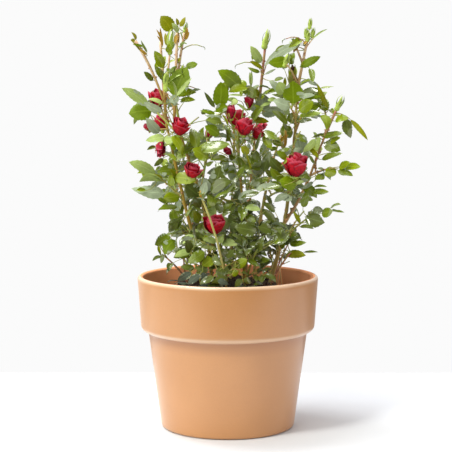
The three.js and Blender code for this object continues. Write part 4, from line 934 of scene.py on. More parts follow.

# The leaves that show most, one by one, as read in the photo's 452 pixels: (base u, v, tip u,
# v, width, and in mm the depth of the base and how far the tip comes forward, tint), and how the
# leaf lies if it doesn't lay its face to the front: its edge, its folded halves or its underside, or
# its gloss to the lamp. Each hangs on a stalk from the nearest wood.
FACE, EDGE, FOLDED, BELOW, SHINING = range(5)
# Where a row gives the grey underside tint (UNDER) or the pale shoot tint (PALE) to a leaf that faces
# the front, its paler colour is in part painted highlight, for the whitish gloss that leaf shows.
SINGLE_LEAVES = [
    (172.6, 31, 160.4, 15.8, 11.6, -16, 2, OLIVE_LEAF), (180.2, 26.4, 185.4, 16.6, 4.4, -26, 8, YOUNG),
    (163.4, 68.2, 154.6, 50.6, 9.5, -20, 8, FRESH), (165.4, 80, 154.6, 66.4, 7, -22, 20, MATURE),
    (153.8, 80.2, 144.2, 71.4, 5.5, -14, 22, MATURE), (173.4, 95.4, 187.4, 67, 19, -46, 14, DEEP),
    (185.7, 66.4, 197.8, 63.6, 6.6, -33, 6, DEEP), (176.4, 63.4, 180.6, 58.4, 4, -30, 10, YOUNG),
    (180, 96, 196, 91.8, 6.5, -30, 12, FRESH), (180.5, 99.8, 195, 99.6, 5.4, -30, 20, FRESH),
    (148.4, 106, 121.6, 87.8, 9, -30, 8, UNDER_FRESH), (151.4, 111.3, 128.8, 113.2, 16.4, -24, 2, DEEP),
    (163, 103.6, 148, 98.8, 5, -37, 4, PALE), (177, 103.6, 168.6, 99.6, 7, -46, 10, MATURE, BELOW),
    (159, 133, 145.6, 117.6, 11.5, -34, 8, UNDER), (165, 137, 146, 141, 8, -54, 8, UNDER_FRESH),
    (172, 136, 183.6, 157.6, 8.5, -57, 10, FRESH), (156, 175, 128.6, 161.4, 12, -26, 20, UNDER_FRESH),
    (161, 180, 139.6, 181.8, 8, -28, 34, UNDER_FRESH), (171, 172.6, 157, 170, 9, -8, 14, SHADED),
    (164, 193.4, 131, 188, 14, -24, 8, UNDER), (179, 196, 163, 198.4, 10, -36, 30, FRESH),
    (177, 206.5, 159, 208.6, 6, -30, 40, MATURE), (165, 204, 157.6, 211.6, 4, -24, 40, MATURE),
    (175, 176.4, 196, 180.2, 10.5, -60, 20, FRESH),
    (175, 185, 169.6, 169.4, 9.5, -52, 30, FRESH, FOLDED),
    (196.4, 147.4, 190.6, 127.4, 11, -56, 6, MATURE, SHINING),
    (208, 157.6, 193.4, 148.4, 12, -62, 16, FRESH),
    (198, 147.4, 229.5, 142.6, 14, -60, 6, MATURE, SHINING),
    (222, 121.4, 206, 119.6, 8, -46, 20, MATURE), (219, 135, 205, 126, 11, -50, 10, DEEP),
    (226, 158, 210.6, 159.2, 6, -56, 30, MATURE, FOLDED), (211.5, 190, 220.6, 165, 13, -60, 8, SHADED),
    (208, 196, 203.6, 179, 8.5, -60, 16, UNDER), (211, 192.6, 231.6, 180.4, 11, -66, 6, SHADED),
    (200, 196.4, 186, 184, 13, -46, 12, SHADED), (200, 208.4, 194, 197.4, 9, -44, 20, SHADED),
    (199, 222.6, 193, 210.6, 9, -44, 20, MATURE), (176.4, 218.4, 168.8, 229.4, 8, -28, 24, SHADED),
    (181.4, 216.6, 177, 230, 7, -22, 20, MATURE, FOLDED), (261, 62.4, 251, 46, 10, 4, 8, UNDER_FRESH),
    (259.4, 72.2, 247.8, 67.2, 5, 4, 8, MATURE), (240.8, 88.4, 218.6, 70, 15, -26, 22, DEEP),
    (219.6, 107, 220.6, 82, 15.5, -40, 14, DEEP), (256, 96.4, 240, 87.6, 9.5, -22, 14, MATURE),
    (287.4, 59.6, 268.4, 62.4, 10, -8, 12, DEEP), (300.4, 43.6, 264, 65.6, 8, -3, 6, UNDER),
    (286.4, 46, 275.4, 51.4, 5, 6, 20, MATURE), (301, 39.6, 288.6, 47.4, 8, 4, 30, FRESH, FOLDED),
    (290, 64.4, 294.4, 52.6, 8, -6, 12, MATURE), (300.4, 66.6, 320.4, 56, 8, -2, 16, DEEP),
    (310, 68.4, 313.4, 82.8, 7, -8, 26, MATURE, FOLDED),
    (313.6, 38.6, 327.2, 29.0, 2.4, -4, 6, PALE, FOLDED), (293.2, 103.4, 292.4, 81, 20, -44, 8, DEEP),
    (284.4, 93, 278.6, 82, 10, -20, 10, UNDER_FRESH), (290.4, 106.4, 273.6, 99.4, 12.5, -24, 8, UNDER),
    (287.4, 124.4, 272.4, 110.4, 7, -22, 34, MATURE),
    (328, 107.6, 317.4, 83.2, 5.4, -12, 20, OLIVE_LEAF),
    (300.6, 85.4, 314, 79.6, 6.5, -6, 24, MATURE, FOLDED),
    (301, 92.6, 320.6, 89.4, 7.5, -12, 16, SHADED), (300, 97, 315, 95, 5.4, -20, 10, UNDER),
    (299, 110.6, 313.4, 101.6, 13, -30, 18, FRESH), (299, 115.6, 321.6, 112.8, 8, -24, 30, MATURE),
    (299.4, 121.4, 312.6, 120, 5, -20, 30, MATURE, FOLDED), (335, 121.4, 348, 118, 7, -20, 20, FRESH),
    (346.4, 119, 350.8, 138, 9, -20, 12, SHADED), (350.4, 119.6, 368, 140, 5, -18, 20, OLIVE_LEAF),
    (321, 135.4, 343.4, 132.2, 7, -16, 34, MATURE), (328, 142.4, 340.6, 137.8, 7, -16, 24, FRESH),
    (324, 143.6, 340.6, 150.4, 11, -18, 14, MATURE), (322, 159.6, 342, 152.8, 6, -16, 34, MATURE),
    (345, 166.4, 360.4, 166.6, 8, -24, 34, FRESH), (339, 168, 349.6, 161.8, 7, -24, 26, FRESH),
    (338, 170, 352.4, 175.6, 8, -24, 20, MATURE), (336, 169.6, 324.8, 175.4, 9, -24, 16, FRESH),
    (324, 169.4, 317.8, 168, 5, -22, 16, MATURE), (323.4, 174, 315, 179.6, 7, -24, 20, MATURE),
    (312, 190.4, 328.4, 191.4, 6, -30, 34, MATURE),
    (313.6, 187, 327.4, 186.8, 4.5, -28, 34, MATURE, FOLDED),
    (305.6, 216.6, 324.6, 222.4, 15, -36, 10, SHADED), (322, 213.4, 332.4, 210.8, 10, -36, 22, MATURE),
    (331, 208, 340.8, 204.8, 4.5, -36, 34, MATURE),
    (332, 210.4, 344.2, 211.8, 5, -36, 34, MATURE, FOLDED),
    (300, 226.4, 313.4, 228.2, 4.5, -32, 40, SHADED),
    (284, 244.8, 301.4, 237, 7, -26, 20, SHADED, FOLDED),
    (290, 243.8, 305.4, 242.2, 6, -26, 30, MATURE), (281, 248.6, 284.6, 243, 5, -26, 20, MATURE),
    (286, 254.6, 305.8, 254.8, 8, -28, 28, OLIVE_LEAF),
    (304, 252.4, 317.2, 251.2, 3.6, -28, 36, SHADED, FOLDED),
    (170, 236, 154.6, 245, 11, -18, 10, MATURE), (175.4, 240, 164.6, 254.4, 12.5, -20, 12, DEEP),
    (162, 256, 152.4, 261, 5, -16, 40, SHADED), (161.6, 254, 160.6, 263, 4, -18, 40, SHADED),
    (191, 251.4, 174, 257.4, 10, -40, 20, MATURE), (205, 253.4, 189.6, 259, 11, -52, 20, MATURE),
    (212, 258, 202, 265.4, 10, -60, 12, FRESH), (216.4, 240.6, 203.2, 240, 8, -40, 20, PALE),
    (217, 240.4, 223, 233.6, 7, -42, 24, PALE), (221.6, 243.4, 237.4, 244.4, 8, -44, 20, PALE),
    (218, 249, 200.4, 247, 3.6, -44, 36, PALE), (234, 266, 247.6, 259.6, 9, -56, 14, FRESH),
    (230.6, 273.8, 238.8, 271.6, 6.5, -60, 6, FRESH),
    (247.6, 261, 260, 266.4, 7, -50, 24, MATURE, FOLDED),
    (258.4, 263, 270.4, 259.6, 7, -44, 24, MATURE, FOLDED),
    (256.4, 230.4, 234.6, 226.4, 12, -56, 8, SHADED), (258.6, 228.6, 271.6, 225.6, 12, -44, 8, SHADED),
    (291.6, 149.6, 274, 155.4, 8, -22, 10, UNDER), (262.6, 131, 281, 141, 10.5, -30, 20, MATURE),
    (264, 138, 272, 148.4, 7, -26, 10, UNDER_FRESH), (285.6, 88, 262, 95, 9.5, -6, 12, MATURE, FOLDED),
    (247, 88, 229, 91.6, 8, -30, 20, FRESH), (238, 100, 226.6, 99.6, 5.6, -26, 10, UNDER_FRESH),
    (252, 119.4, 263, 106.6, 8.5, -16, 16, MATURE, FOLDED),
    (198.6, 141, 203.4, 127.4, 8, -44, 20, MATURE), (156, 147, 147, 150, 5, -20, 20, MATURE, FOLDED),
    (178.2, 32.4, 172, 22.6, 6, -36, 10, PALE, FOLDED), (178, 25.6, 176, 18.4, 3.2, -36, 6, YOUNG),
    (176.6, 34.5, 175, 44, 3, -36, 4, BRONZE), (178.8, 33.5, 178.8, 43.6, 2.2, -34, 4, BRONZE),
    (186.2, 36.6, 186.8, 27.4, 3, -24, 6, BRONZE), (185.6, 40, 189.4, 32, 2.8, -24, 6, BRONZE),
    (162.6, 45, 156.4, 29.6, 2.4, -10, 6, BRONZE), (163, 46, 160.2, 27.6, 2.6, -10, 6, BRONZE),
    (162, 43, 157, 35.6, 1.6, -10, 6, BRONZE), (143.4, 51.6, 131, 40.6, 3.6, -19, 6, YOUNG),
    (136, 39.8, 131.4, 32.4, 3.2, -20, 4, YOUNG), (146.8, 54.4, 139.6, 49.4, 3.2, -20, 6, BRONZE),
    (178.6, 97.4, 169, 101.6, 8, -49, 4, UNDER), (176, 95.6, 172.4, 80.6, 5, -50, 8, PALE, FOLDED),
    (170.4, 82, 181, 74.4, 3, -50, 8, PALE, EDGE), (162, 112, 144.2, 102, 7.6, -36, 6, UNDER),
    (252, 90, 259.4, 84.6, 6.5, 4, 8, UNDER), (259.4, 97, 250.6, 90.4, 7.5, -6, 8, OLIVE_LEAF),
    (250.4, 87, 251.6, 70.4, 3.2, 4, 6, PALE, FOLDED),
    (261.6, 99, 271, 88.6, 5.4, -8, 10, FRESH, FOLDED), (284.4, 95.6, 271.6, 94, 6.6, -16, 8, SHADED),
    (271.6, 102, 258, 108.6, 3.6, -8, 10, UNDER_FRESH), (263, 110.6, 254, 104.6, 4.4, -12, 10, FRESH),
    (253.6, 120.4, 269, 121.6, 5.6, -16, 6, OLIVE_LEAF), (322, 96.8, 302, 101.4, 3.6, -21, 8, DEEP),
    (320.6, 87.6, 334.6, 86.8, 2.6, -10, 6, FRESH), (264.8, 74.4, 276, 69, 2.4, -2, 4, UNDER),
    (214.4, 107, 204.6, 91.6, 3.8, -30, 8, SHADED), (214.4, 114, 199.8, 110.4, 5.6, -42, 6, DEEP),
    (222.4, 116.6, 205.2, 115.6, 5.4, -43, 8, UNDER), (227, 105.6, 215.6, 111.4, 8, -44, 6, DEEP),
    (243.6, 96, 228, 94.6, 2.6, -28, 6, PALE),
    (246.4, 111.6, 236.4, 103.8, 5, -34, 8, UNDER_FRESH, FOLDED),
    (255.6, 150, 261.6, 131, 5, -46, 8, SHADED, FOLDED),
    (285, 147, 285.6, 130, 4.2, -14, 6, BRONZE, FOLDED),
    (287.4, 130.6, 284, 118.6, 3.6, -10, 6, SHADED),
    (288.4, 155.4, 280, 166.4, 3, -55, 4, FRESH, FOLDED),
    (293, 151.4, 302.6, 147.8, 3.6, -20, 6, UNDER), (296, 134.8, 306, 142.6, 6.4, -22, 10, MATURE),
    (315.4, 138.6, 302.6, 151.8, 6.6, -24, 8, UNDER_FRESH),
    (319, 136.6, 316, 151, 4.2, -24, 6, UNDER_FRESH),
    (309.4, 146.4, 318.8, 157.8, 4.4, -22, 6, OLIVE_LEAF),
    (310, 155.4, 314.4, 164.4, 3.4, -24, 6, SHADED), (323, 133.4, 311.4, 137.6, 3, -17, 6, SHADED),
    (313, 182, 300.6, 188.4, 5, -30, 8, UNDER, FOLDED), (303.6, 186, 317, 197.4, 9, -30, 10, MATURE),
    (303, 207, 307.6, 190.4, 8.4, -30, 10, MATURE), (296.6, 185, 279.4, 180.6, 13, -53, 10, DEEP),
    (296, 183.6, 304, 181, 3, -52, 4, PALE), (288, 194.6, 274, 201.8, 6.6, -36, 8, UNDER),
    (164, 139.6, 177.4, 138, 8, -55, 4, UNDER_FRESH), (176.4, 146.8, 170.4, 147, 6, -57, 4, DEEP),
    (183, 213.4, 174, 212, 3.4, -32, 6, MATURE), (183, 216.6, 169.4, 222.8, 3, -32, 8, SHADED),
    (147, 52.6, 141.4, 40, 3, -20, 6, MATURE, FOLDED), (144, 47, 133, 44.4, 2.6, -20, 6, DEEP),
    (296.6, 48, 295.4, 38, 2.6, 2, 4, OLIVE_LEAF, FOLDED), (299, 46, 293.6, 53, 3, 1, 4, BRONZE),
    (303.6, 44.6, 308, 41, 3.2, -1, 4, BRONZE, FOLDED), (176.5, 96, 192, 77.4, 3.6, -62, 4, PALE),
    (308, 80.6, 318.4, 85.6, 5, -6, 6, UNDER), (284.6, 86.4, 285.4, 77.6, 4, -4, 4, OLIVE_LEAF, FOLDED),
    (299, 121.4, 312, 120, 4.4, -8, 10, SHADED), (250.6, 85, 250.2, 71.6, 4.6, 2, 4, PALE, FOLDED),
    (264, 134, 272.6, 149, 6, -32, 8, FRESH), (263, 171, 270, 151, 10, -30, 10, SHADED),
    (283, 171.6, 268.6, 156.6, 9, -34, 10, SHADED), (252, 151, 262, 162, 9, -36, 8, SHADED),
    (176.4, 171, 157, 172, 8.5, -34, 8, MATURE), (171, 186, 172.4, 172.6, 7, -30, 8, FRESH),
    (194.6, 268.4, 180.6, 266.4, 7, -62, 6, SHADED), (208.4, 270.4, 195, 268.4, 7.4, -66, 6, SHADED),
    (191, 273, 177.4, 281, 7, -68, 4, WITHERED), (200, 274.6, 187.6, 284.6, 7.4, -74, 4, WITHERED),
    (203, 272.6, 203.6, 284.6, 8, -72, 4, WITHERED), (214, 277, 199.6, 283, 6.6, -78, 4, SHADED),
    (227, 277.6, 211, 283, 7.4, -78, 4, SHADED), (218, 279.6, 229, 284, 6, -80, 4, WITHERED),
    (231.4, 275, 238.6, 270.6, 5.6, -66, 6, FRESH), (204.4, 251.6, 188.4, 262.6, 9, -66, 8, MATURE),
    (190.6, 251.4, 174.6, 256.6, 6, -54, 10, UNDER_FRESH),
    (177.4, 219.6, 168.4, 232.4, 7, -34, 6, SHADED), (246, 207.6, 260.6, 210, 6.4, -56, 8, UNDER_FRESH),
    (307.4, 60.6, 300.6, 64.6, 3, -2, 4, OLIVE_LEAF), (135.6, 40.6, 130.8, 40, 3.4, -20, 4, YOUNG),
    (313, 209.6, 323.4, 210.4, 6, -30, 10, SHADED), (146, 190.6, 136, 190, 5, -30, 10, FRESH, FOLDED),
    (276.4, 98.6, 268, 100.6, 5, -14, 10, UNDER_FRESH), (231, 103.6, 238, 101, 6, -38, 8, PALE),
    (274, 80.4, 284, 77.6, 4, -4, 8, MATURE), (281, 141.6, 288.6, 134.6, 5.6, -12, 10, BRONZE, FOLDED),
    (270, 149.6, 278, 148, 5, -20, 8, MATURE), (206, 165, 214, 161.6, 5, -48, 8, MATURE),
    (204.6, 114.6, 203, 108.6, 4.6, -30, 8, MATURE), (208, 195, 202, 182, 8, -66, 4, SHADED, SHINING),
    (236, 187, 214, 197.6, 6, -66, 8, MATURE, SHINING),
    (281, 186, 256, 189.6, 7, -60, 6, MATURE, SHINING),
    (259, 192, 240, 197.6, 7, -62, 6, SHADED, SHINING),
    (238, 176, 229, 193, 6, -56, 6, SHADED, SHINING), (262, 226, 272, 218, 7, -52, 6, SHADED, SHINING),
    (272, 232, 258, 228, 9, -54, 6, SHADED), (284, 196, 292, 200, 8, -30, 6, UNDER, SHINING),
    (246, 164, 252, 174, 6, -48, 6, SHADED, SHINING), (216, 163, 222, 172, 6, -48, 8, MATURE, SHINING),
    (262, 181.6, 268, 176, 6, -44, 8, MATURE, SHINING),
    (236, 206, 224, 212, 7, -58, 6, SHADED, SHINING), (276, 154, 290, 147, 7, -30, 6, MATURE, SHINING),
    (196, 246, 206, 241, 7, -62, 6, SHADED, SHINING), (276, 240, 264, 246, 7, -52, 6, SHADED, SHINING),
    (214, 197, 238, 180, 11, -60, 4, UNDER), (238, 199, 259.4, 193, 7, -58, 4, UNDER),
    (256, 190, 281.6, 186.4, 7.4, -56, 4, UNDER), (203, 194.6, 206, 182, 8, -68, 4, UNDER),
    (238, 178, 244.6, 166, 6, -50, 8, MATURE), (250, 186, 262, 178, 7, -46, 8, SHADED),
    (222, 212, 232, 204, 8, -56, 8, MATURE), (246, 216, 256, 222, 7, -50, 8, MATURE),
    (284, 182, 270, 168, 9, -40, 8, MATURE), (275, 222, 262, 209, 8, -45, 8, SHADED),
    (284, 92, 269, 80, 8, -14, 8, UNDER), (262, 68, 250, 61, 5, 0, 6, OLIVE_LEAF),
    (158, 246, 161, 256, 3, -16, 4, OLIVE_LEAF, FOLDED), (163, 158, 154, 166, 5, -10, 6, SHADED),
    (168, 46, 165, 33, 4, -20, 4, YOUNG), (251, 170, 243, 148, 3, -56, 4, OLIVE_LEAF, FOLDED),
    (300, 223, 294, 211, 4.4, -30, 4, OLIVE_LEAF, FOLDED), (249, 154, 241, 146, 7, -56, 6, OLIVE_LEAF),
    (286, 159, 277, 151, 6, -52, 6, DEEP), (307, 111, 319, 106.6, 5, -24, 6, DEEP),
    (275, 212, 263, 202.6, 5.6, -45, 6, SHADED), (222, 213, 215, 203.6, 6.6, -60, 6, SHADED),
    (204, 212.6, 196, 207.6, 4.6, -50, 6, SHADED), (227, 257, 221, 247, 6.6, -66, 6, SHADED),
    (228, 125.6, 221.6, 113.6, 3.6, -52, 4, OLIVE_LEAF, FOLDED),
    (233, 250, 226, 258, 6, -64, 6, SHADED), (272, 177, 264, 170, 6, -44, 6, SHADED),
]
PHOTO_MIDDLE, FOCAL = 226, 1400  # both in pixels of the photo
PIXEL_AT_BUSH = 1.3  # mm
# How much of the drawn way forward a leaf's tip comes, and of that how far one seen from below
# goes back
FORWARD, BACKWARD = 0.6, 0.3
GLOSS_ACROSS, GLOSS_UP, GLOSS_LIMIT = -0.34, 1.12, 18  # a shining leaf's slopes, and its limit in mm


def seen_at(u, v, depth):
    """The x and z in mm that the camera sees at a pixel, at a depth."""
    away, down = depth - CAMERA_SPOT[1], radians(CAMERA_DOWN)
    climb = (PHOTO_MIDDLE - v) / FOCAL
    z = (climb * away * cos(down) - away * sin(down)) / (cos(down) + climb * sin(down))
    straight = away * cos(down) - z * sin(down)
    return CAMERA_SPOT[0] + (u - PHOTO_MIDDLE) / FOCAL * straight, CAMERA_SPOT[2] + z


def leaf_place(base_u, base_v, tip_u, tip_v, width, depth, forward, lay):
    """The base, the tip and the width of a leaf from where the photo shows it, in whole mm."""
    x, z = seen_at(base_u, base_v, depth)
    run = forward * FORWARD
    tip_depth = depth + run * BACKWARD if lay == BELOW else depth - run
    tip_x, tip_z = seen_at(tip_u, tip_v, tip_depth)
    if lay == SHINING:
        slope = GLOSS_ACROSS * (tip_x - x) + GLOSS_UP * (tip_z - z)
        tip_depth = depth + max(-GLOSS_LIMIT, min(GLOSS_LIMIT, slope))
        tip_x, tip_z = seen_at(tip_u, tip_v, tip_depth)
    return np.rint([x, depth, z]), np.rint([tip_x, tip_depth, tip_z]), round(width * PIXEL_AT_BUSH)


# For each lie, the way that the upper side turns and how far up the two halves fold
FACING = [(0, -1, 0.45), (0.1, -0.12, 1), (0.15, -0.8, 0.6), (0, 1, 0.5), (-0.22, -0.66, 0.72)]
FOLDS = [6, 20, 40, 6, 5]
# A blade is as much wider than drawn, and its stalk is as thick as on a leaf 52 mm long.
WIDENED, STALK_LIKE = 1.12, 52
stem_spots = [(name, line_on(curve, 40)) for name, *_, curves in stems for curve in curves]
wood_spots = np.concatenate([line for _, line in stem_spots]
                            + [line_on(limbs[name], 60) for name in CANES])
wood_names = np.concatenate([[name] * 40 for name, _ in stem_spots])
for number, (*drawn, tint, lay) in enumerate((*row, FACE)[:9] for row in SINGLE_LEAVES):
    base, tip, wide = leaf_place(*drawn, lay)
    draws = np.random.default_rng(700 + number)
    distances = np.linalg.norm(wood_spots - base, axis=1)
    nearest = wood_spots[np.argmin(distances)]
    name = str(wood_names[np.argmin(distances[:len(wood_names)])])
    length, way = np.linalg.norm(tip - base), unit(tip - base)
    aside = unit(np.cross(way, np.array(FACING[lay])))
    up = unit(np.cross(aside, way))
    gap = np.linalg.norm(base - nearest)
    if gap > 1.5:
        knee = base - way * gap * 0.45
        rachises.append((name, np.array([spot_on((nearest, knee, base), i / 3) for i in range(4)]),
                         STALK_LIKE))
    add_blade(name, draws, base, way, up, length, tint, width=WIDENED * wide / length,
              fold=FOLDS[lay], curl=draws.uniform(0.05, 0.4), droop=draws.uniform(0, 0.08))
    if lay == SHINING:
        leaflets[-1].update(twist=0, spread=4, curl=0.2)
    clear_spots.append([*(base + way * length * 0.5), 0.3 * length])
# How far round a flower stays clear of leaves, as a share of its size
CLEAR_SHARES = {"bloom": 0.5, "opening": 0.5, "bud": 0.3, "spent": 0.3}
for name, kind, point, way, heading, size, tint in flowers:
    if kind in CLEAR_SHARES:
        clear_spots.append([*(point + way * size * 0.4), size * CLEAR_SHARES[kind]])
clear_spots = np.array(clear_spots)

for name, sprays, tint, fine, draw, draws, curves in stems:
    for (fork, tip, leaves, leaf, end, size, *placed), curve in zip(sprays, curves):
        for share, bearing, rise, length, count in placed:
            face = np.array([0.6 * (draw() - 0.5), -0.9, 0.7])
            level = cos(radians(rise))
            heading = np.array([level * cos(radians(bearing)), level * sin(radians(bearing)),
                                sin(radians(rise))])
            compound_leaf(name, draws, spot_on(curve, share), heading, face, length, count, tint)
        grow_leaves(name, draw, draws, curve, leaves, leaf, tint)

# Finer twigs, carried on by the same rule with a stream of its own: each leaves a stem at a leaf's
# turn, rises, and bears small leaves up to its tip.
for seed, (name, sprays, tint, fine, draw, draws, curves) in enumerate(stems, 101):
    further = seeded(seed)
    for curve in curves:
        start = further() * 360
        for k in range(fine):
            share = 0.15 + 0.7 * (k + further()) / fine
            spot, along, right, back = frame_on(curve, share)
            angle = radians(start + k * TURN + (further() - 0.5) * TURN_SCATTER)
            way = unit(along * 0.9 + right * cos(angle) + back * sin(angle) + UP * 0.2)
            tip = spot + way * (22 + 20 * further())
            if not has_room(spot, unit(tip - spot), np.linalg.norm(tip - spot)):
                continue
            twig = bend(spot, tip, 0.2)
            twigs.append((name, twig, TWIG_RADII, GREEN_TWIG, 4))
            leaf = 34 + 14 * further()
            grow_leaves(name, further, draws, twig, 3, leaf, tint, True)
            heading = heading_on(twig, 1)
            flowers.append((name, "leaf", spot_on(twig, 1), heading, heading, leaf * 0.45, tint))

# Young shoots and flower stalks at the tips: (mass, foot, tip, how far it bows, finish, end, size),
# where "limb" is a stout shoot and "none" a thin stalk, both with a bare end
SHOOTS = [
    ("left_tips", [-81, -13, 434], [-75, -22, 496], -0.1, TAN_TWIG, "slender", 29),
    ("left_inner_tips", [-55, -24, 498], [-33, -30, 503], -0.55, GREEN_TWIG, "drop", 6),
    ("left_inner_tips", [-55, -24, 509], [-61, -26, 522], 0.3, GREEN_TWIG, "none", 0),
    ("left_inner_tips", [-66, -33, 448], [-43, -36, 450], -0.5, RED_TWIG, "drop", 4),
    ("right_tips", [91, 0, 484], [89, 2, 505], 0.1, TAN_TWIG, "tuft", 14),
    ("right_tips", [101, 0, 501], [112, -3, 515], 0.2, TAN_TWIG, "none", 0),
    ("right_tips", [101, 0, 508], [76, -2, 514], -0.6, RED_TWIG, "drop", 8),
    ("slim_tips", [46, 8, 474], [14, 0, 481], -0.6, GREEN_TWIG, "drop", 8),
    ("left_blooms", [-81, -38, 388], [-91, -38, 418], 0.1, GREEN_TWIG, "limb", 0),
    ("slim_tips", [45, 8, 458], [52, 6, 485], 0.1, RED_TWIG, "none", 0),
    ("right_inner", [74, -10, 372], [77, -8, 399], 0.1, TAN_TWIG, "limb", 0),
    ("low_front", [-1, -66, 189], [-33, -86, 312], 0.5, STRAW_TWIG, "tuft", 11),
    ("low_right", [64, -36, 190], [68, -38, 216], 0.1, RED_TWIG, "none", 0),
    ("low_right", [71, -36, 190], [68, -38, 216], 0.1, RED_TWIG, "none", 0),
]
for name, foot, tip, bow, finish, kind, size in SHOOTS:
    foot, tip = np.array(foot, float), np.array(tip, float)
    nearest = wood_spots[np.argmin(np.linalg.norm(wood_spots - foot, axis=1))]
    foot = nearest if foot[2] > SOIL_Z else foot
    middle = spot_on(bend(foot, tip, bow), 0.5)
    if kind == "drop":
        middle = (foot + tip) / 2 + UP * abs(bow) * 0.6 * np.linalg.norm(tip - foot)
    curve = foot, middle, tip
    radii = {"drop": TWIG_RADII, "none": STALK_RADII}.get(kind, SHOOT_RADII)
    twigs.append((name, curve, radii, finish, 4))
    flowers.append((name, kind, tip, heading_on(curve, 1), heading_on(curve, 1), size, MATURE))

# Leaves that have fallen on the compost and dried: (x, y, bearing, length)
FALLEN = [(-62, -22, 200, 20), (-52, -38, 150, 22), (-38, -48, 30, 18), (-24, -56, 340, 21),
          (-10, -60, 190, 17), (8, -62, 20, 19), (26, -58, 310, 15), (-46, -28, 80, 17),
          (46, -44, 200, 14), (-30, 40, 60, 20), (30, 52, 250, 18), (54, 20, 120, 19)]
for x, y, bearing, length in FALLEN:
    draws = np.random.default_rng(980 + length + x)
    way = np.array([cos(radians(bearing)), sin(radians(bearing)), 0.05])
    add_blade("low_front_left", draws, np.array([x, y, SOIL_Z + 2.2]), unit(way), UP, length,
              WITHERED if length > 17 else SHADED, fold=draws.uniform(-20, 26), under=UNDER)


def add_end(name, kind, point, way, heading, size, tint):
    """Small leaves of what a spray ends in: one that curls over, a tuft, three young ones or one."""
    draws = np.random.default_rng(int(abs(point[0] * 7 + point[2] * 13)))
    if kind == "drop":
        side = unit(np.cross(heading, UP))
        add_blade(name, draws, point, unit(heading - UP * 0.4), unit(np.cross(side, heading)), size,
                  tint, width=0.42, fold=30, curl=1.2)
    if kind == "tuft":
        right = unit(np.cross(heading, BACK))
        back = np.cross(right, heading)
        for i in range(6):
            angle, lean = radians(137 * i + draws.uniform(-15, 15)), radians(8 + 6 * i)
            out = right * cos(angle) + back * sin(angle)
            aside = unit(heading * cos(lean) + out * sin(lean))
            up = unit(heading * sin(lean) - out * cos(lean))
            add_blade(name, draws, point - heading * 0.09 * size * i, aside, up,
                      size * draws.uniform(0.7, 1.1), (YOUNG, BRONZE, YOUNG, PALE)[i % 4], width=0.34,
                      fold=40, curl=draws.uniform(0.2, 1.1))
    if kind in ("young", "leaf"):
        young = kind == "young"
        for i, x in enumerate([0, -0.7, 0.7] if young else [0]):
            aside = unit(way + np.array([x, -0.3 * i, 0]))
            across = unit(np.cross(aside, np.array([0.1, -1, 0.6])))
            base = point + heading * (-1 - 5 * i)
            if not hides(base, aside, size):
                add_blade(name, draws, base, aside, unit(np.cross(across, aside)), size * (1 - 0.1 * i),
                          YOUNG if young else tint, width=0.46 if young else 0.6,
                          fold=38 if young else None)


for flower in flowers:
    add_end(*flower)

# Leaflets: ovate blades with eight teeth a side, creased along the midrib, glossy above and
# matt and paler below. The two skins share the toothed rim.
STATIONS = [0, 0.07, 0.19, 0.33, 0.48, 0.63, 0.77, 0.9, 1]
HALF_WIDTHS = [0, 0.54, 0.88, 1.0, 1.0, 0.92, 0.72, 0.38, 0]
TOOTH_SHARE, NOTCH = 0.3, 0.93  # how far along from a tooth its notch is, and how deep
LEAF_THICKNESS = 0.35


def blade_form():
    """Corner numbers: midrib 0-8, then for each half mids, rims and notches, then the lower midrib."""
    mid = {h: 9 + 21 * h for h in (0, 1)}
    lower = 51
    polygons, finishes = [], []

    def put(corners, half, below):
        polygons.append(tuple(corners if bool(half) == below else corners[::-1])[::-1])
        finishes.append(below)

    for h in (0, 1):
        inner = lambda i: mid[h] + i - 1
        rim = lambda i: mid[h] + 7 + i - 1
        notch = lambda i: mid[h] + 14 + i - 1
        put([0, inner(1), 1], h, False)
        put([0, rim(1), inner(1)], h, False)
        for i in range(1, 7):
            put([i, inner(i), inner(i + 1), i + 1], h, False)
            put([inner(i), rim(i), notch(i), rim(i + 1), inner(i + 1)], h, False)
        put([7, inner(7), 8], h, False)
        put([inner(7), rim(7), notch(7), 8], h, False)
        put([0, rim(1), lower], h, True)
        for i in range(1, 7):
            put([lower + i - 1, rim(i), notch(i), rim(i + 1), lower + i], h, True)
        put([lower + 6, rim(7), notch(7), 8], h, True)
    between = STATIONS[1:8]
    uv = [(0.5, s) for s in STATIONS]
    for away in (-0.5, 0.5):
        uv += [(0.5 + away * share, s) for share in (0.5, 1, 1) for s in between]
    uv += [(0.5, s) for s in between]
    rims = [0, 8] + [mid[h] + 7 + i for h in (0, 1) for i in range(14)]
    return form(polygons, 58, uv, rims), np.array(finishes)


BLADE_FACES, BLADE_BELOW = blade_form()


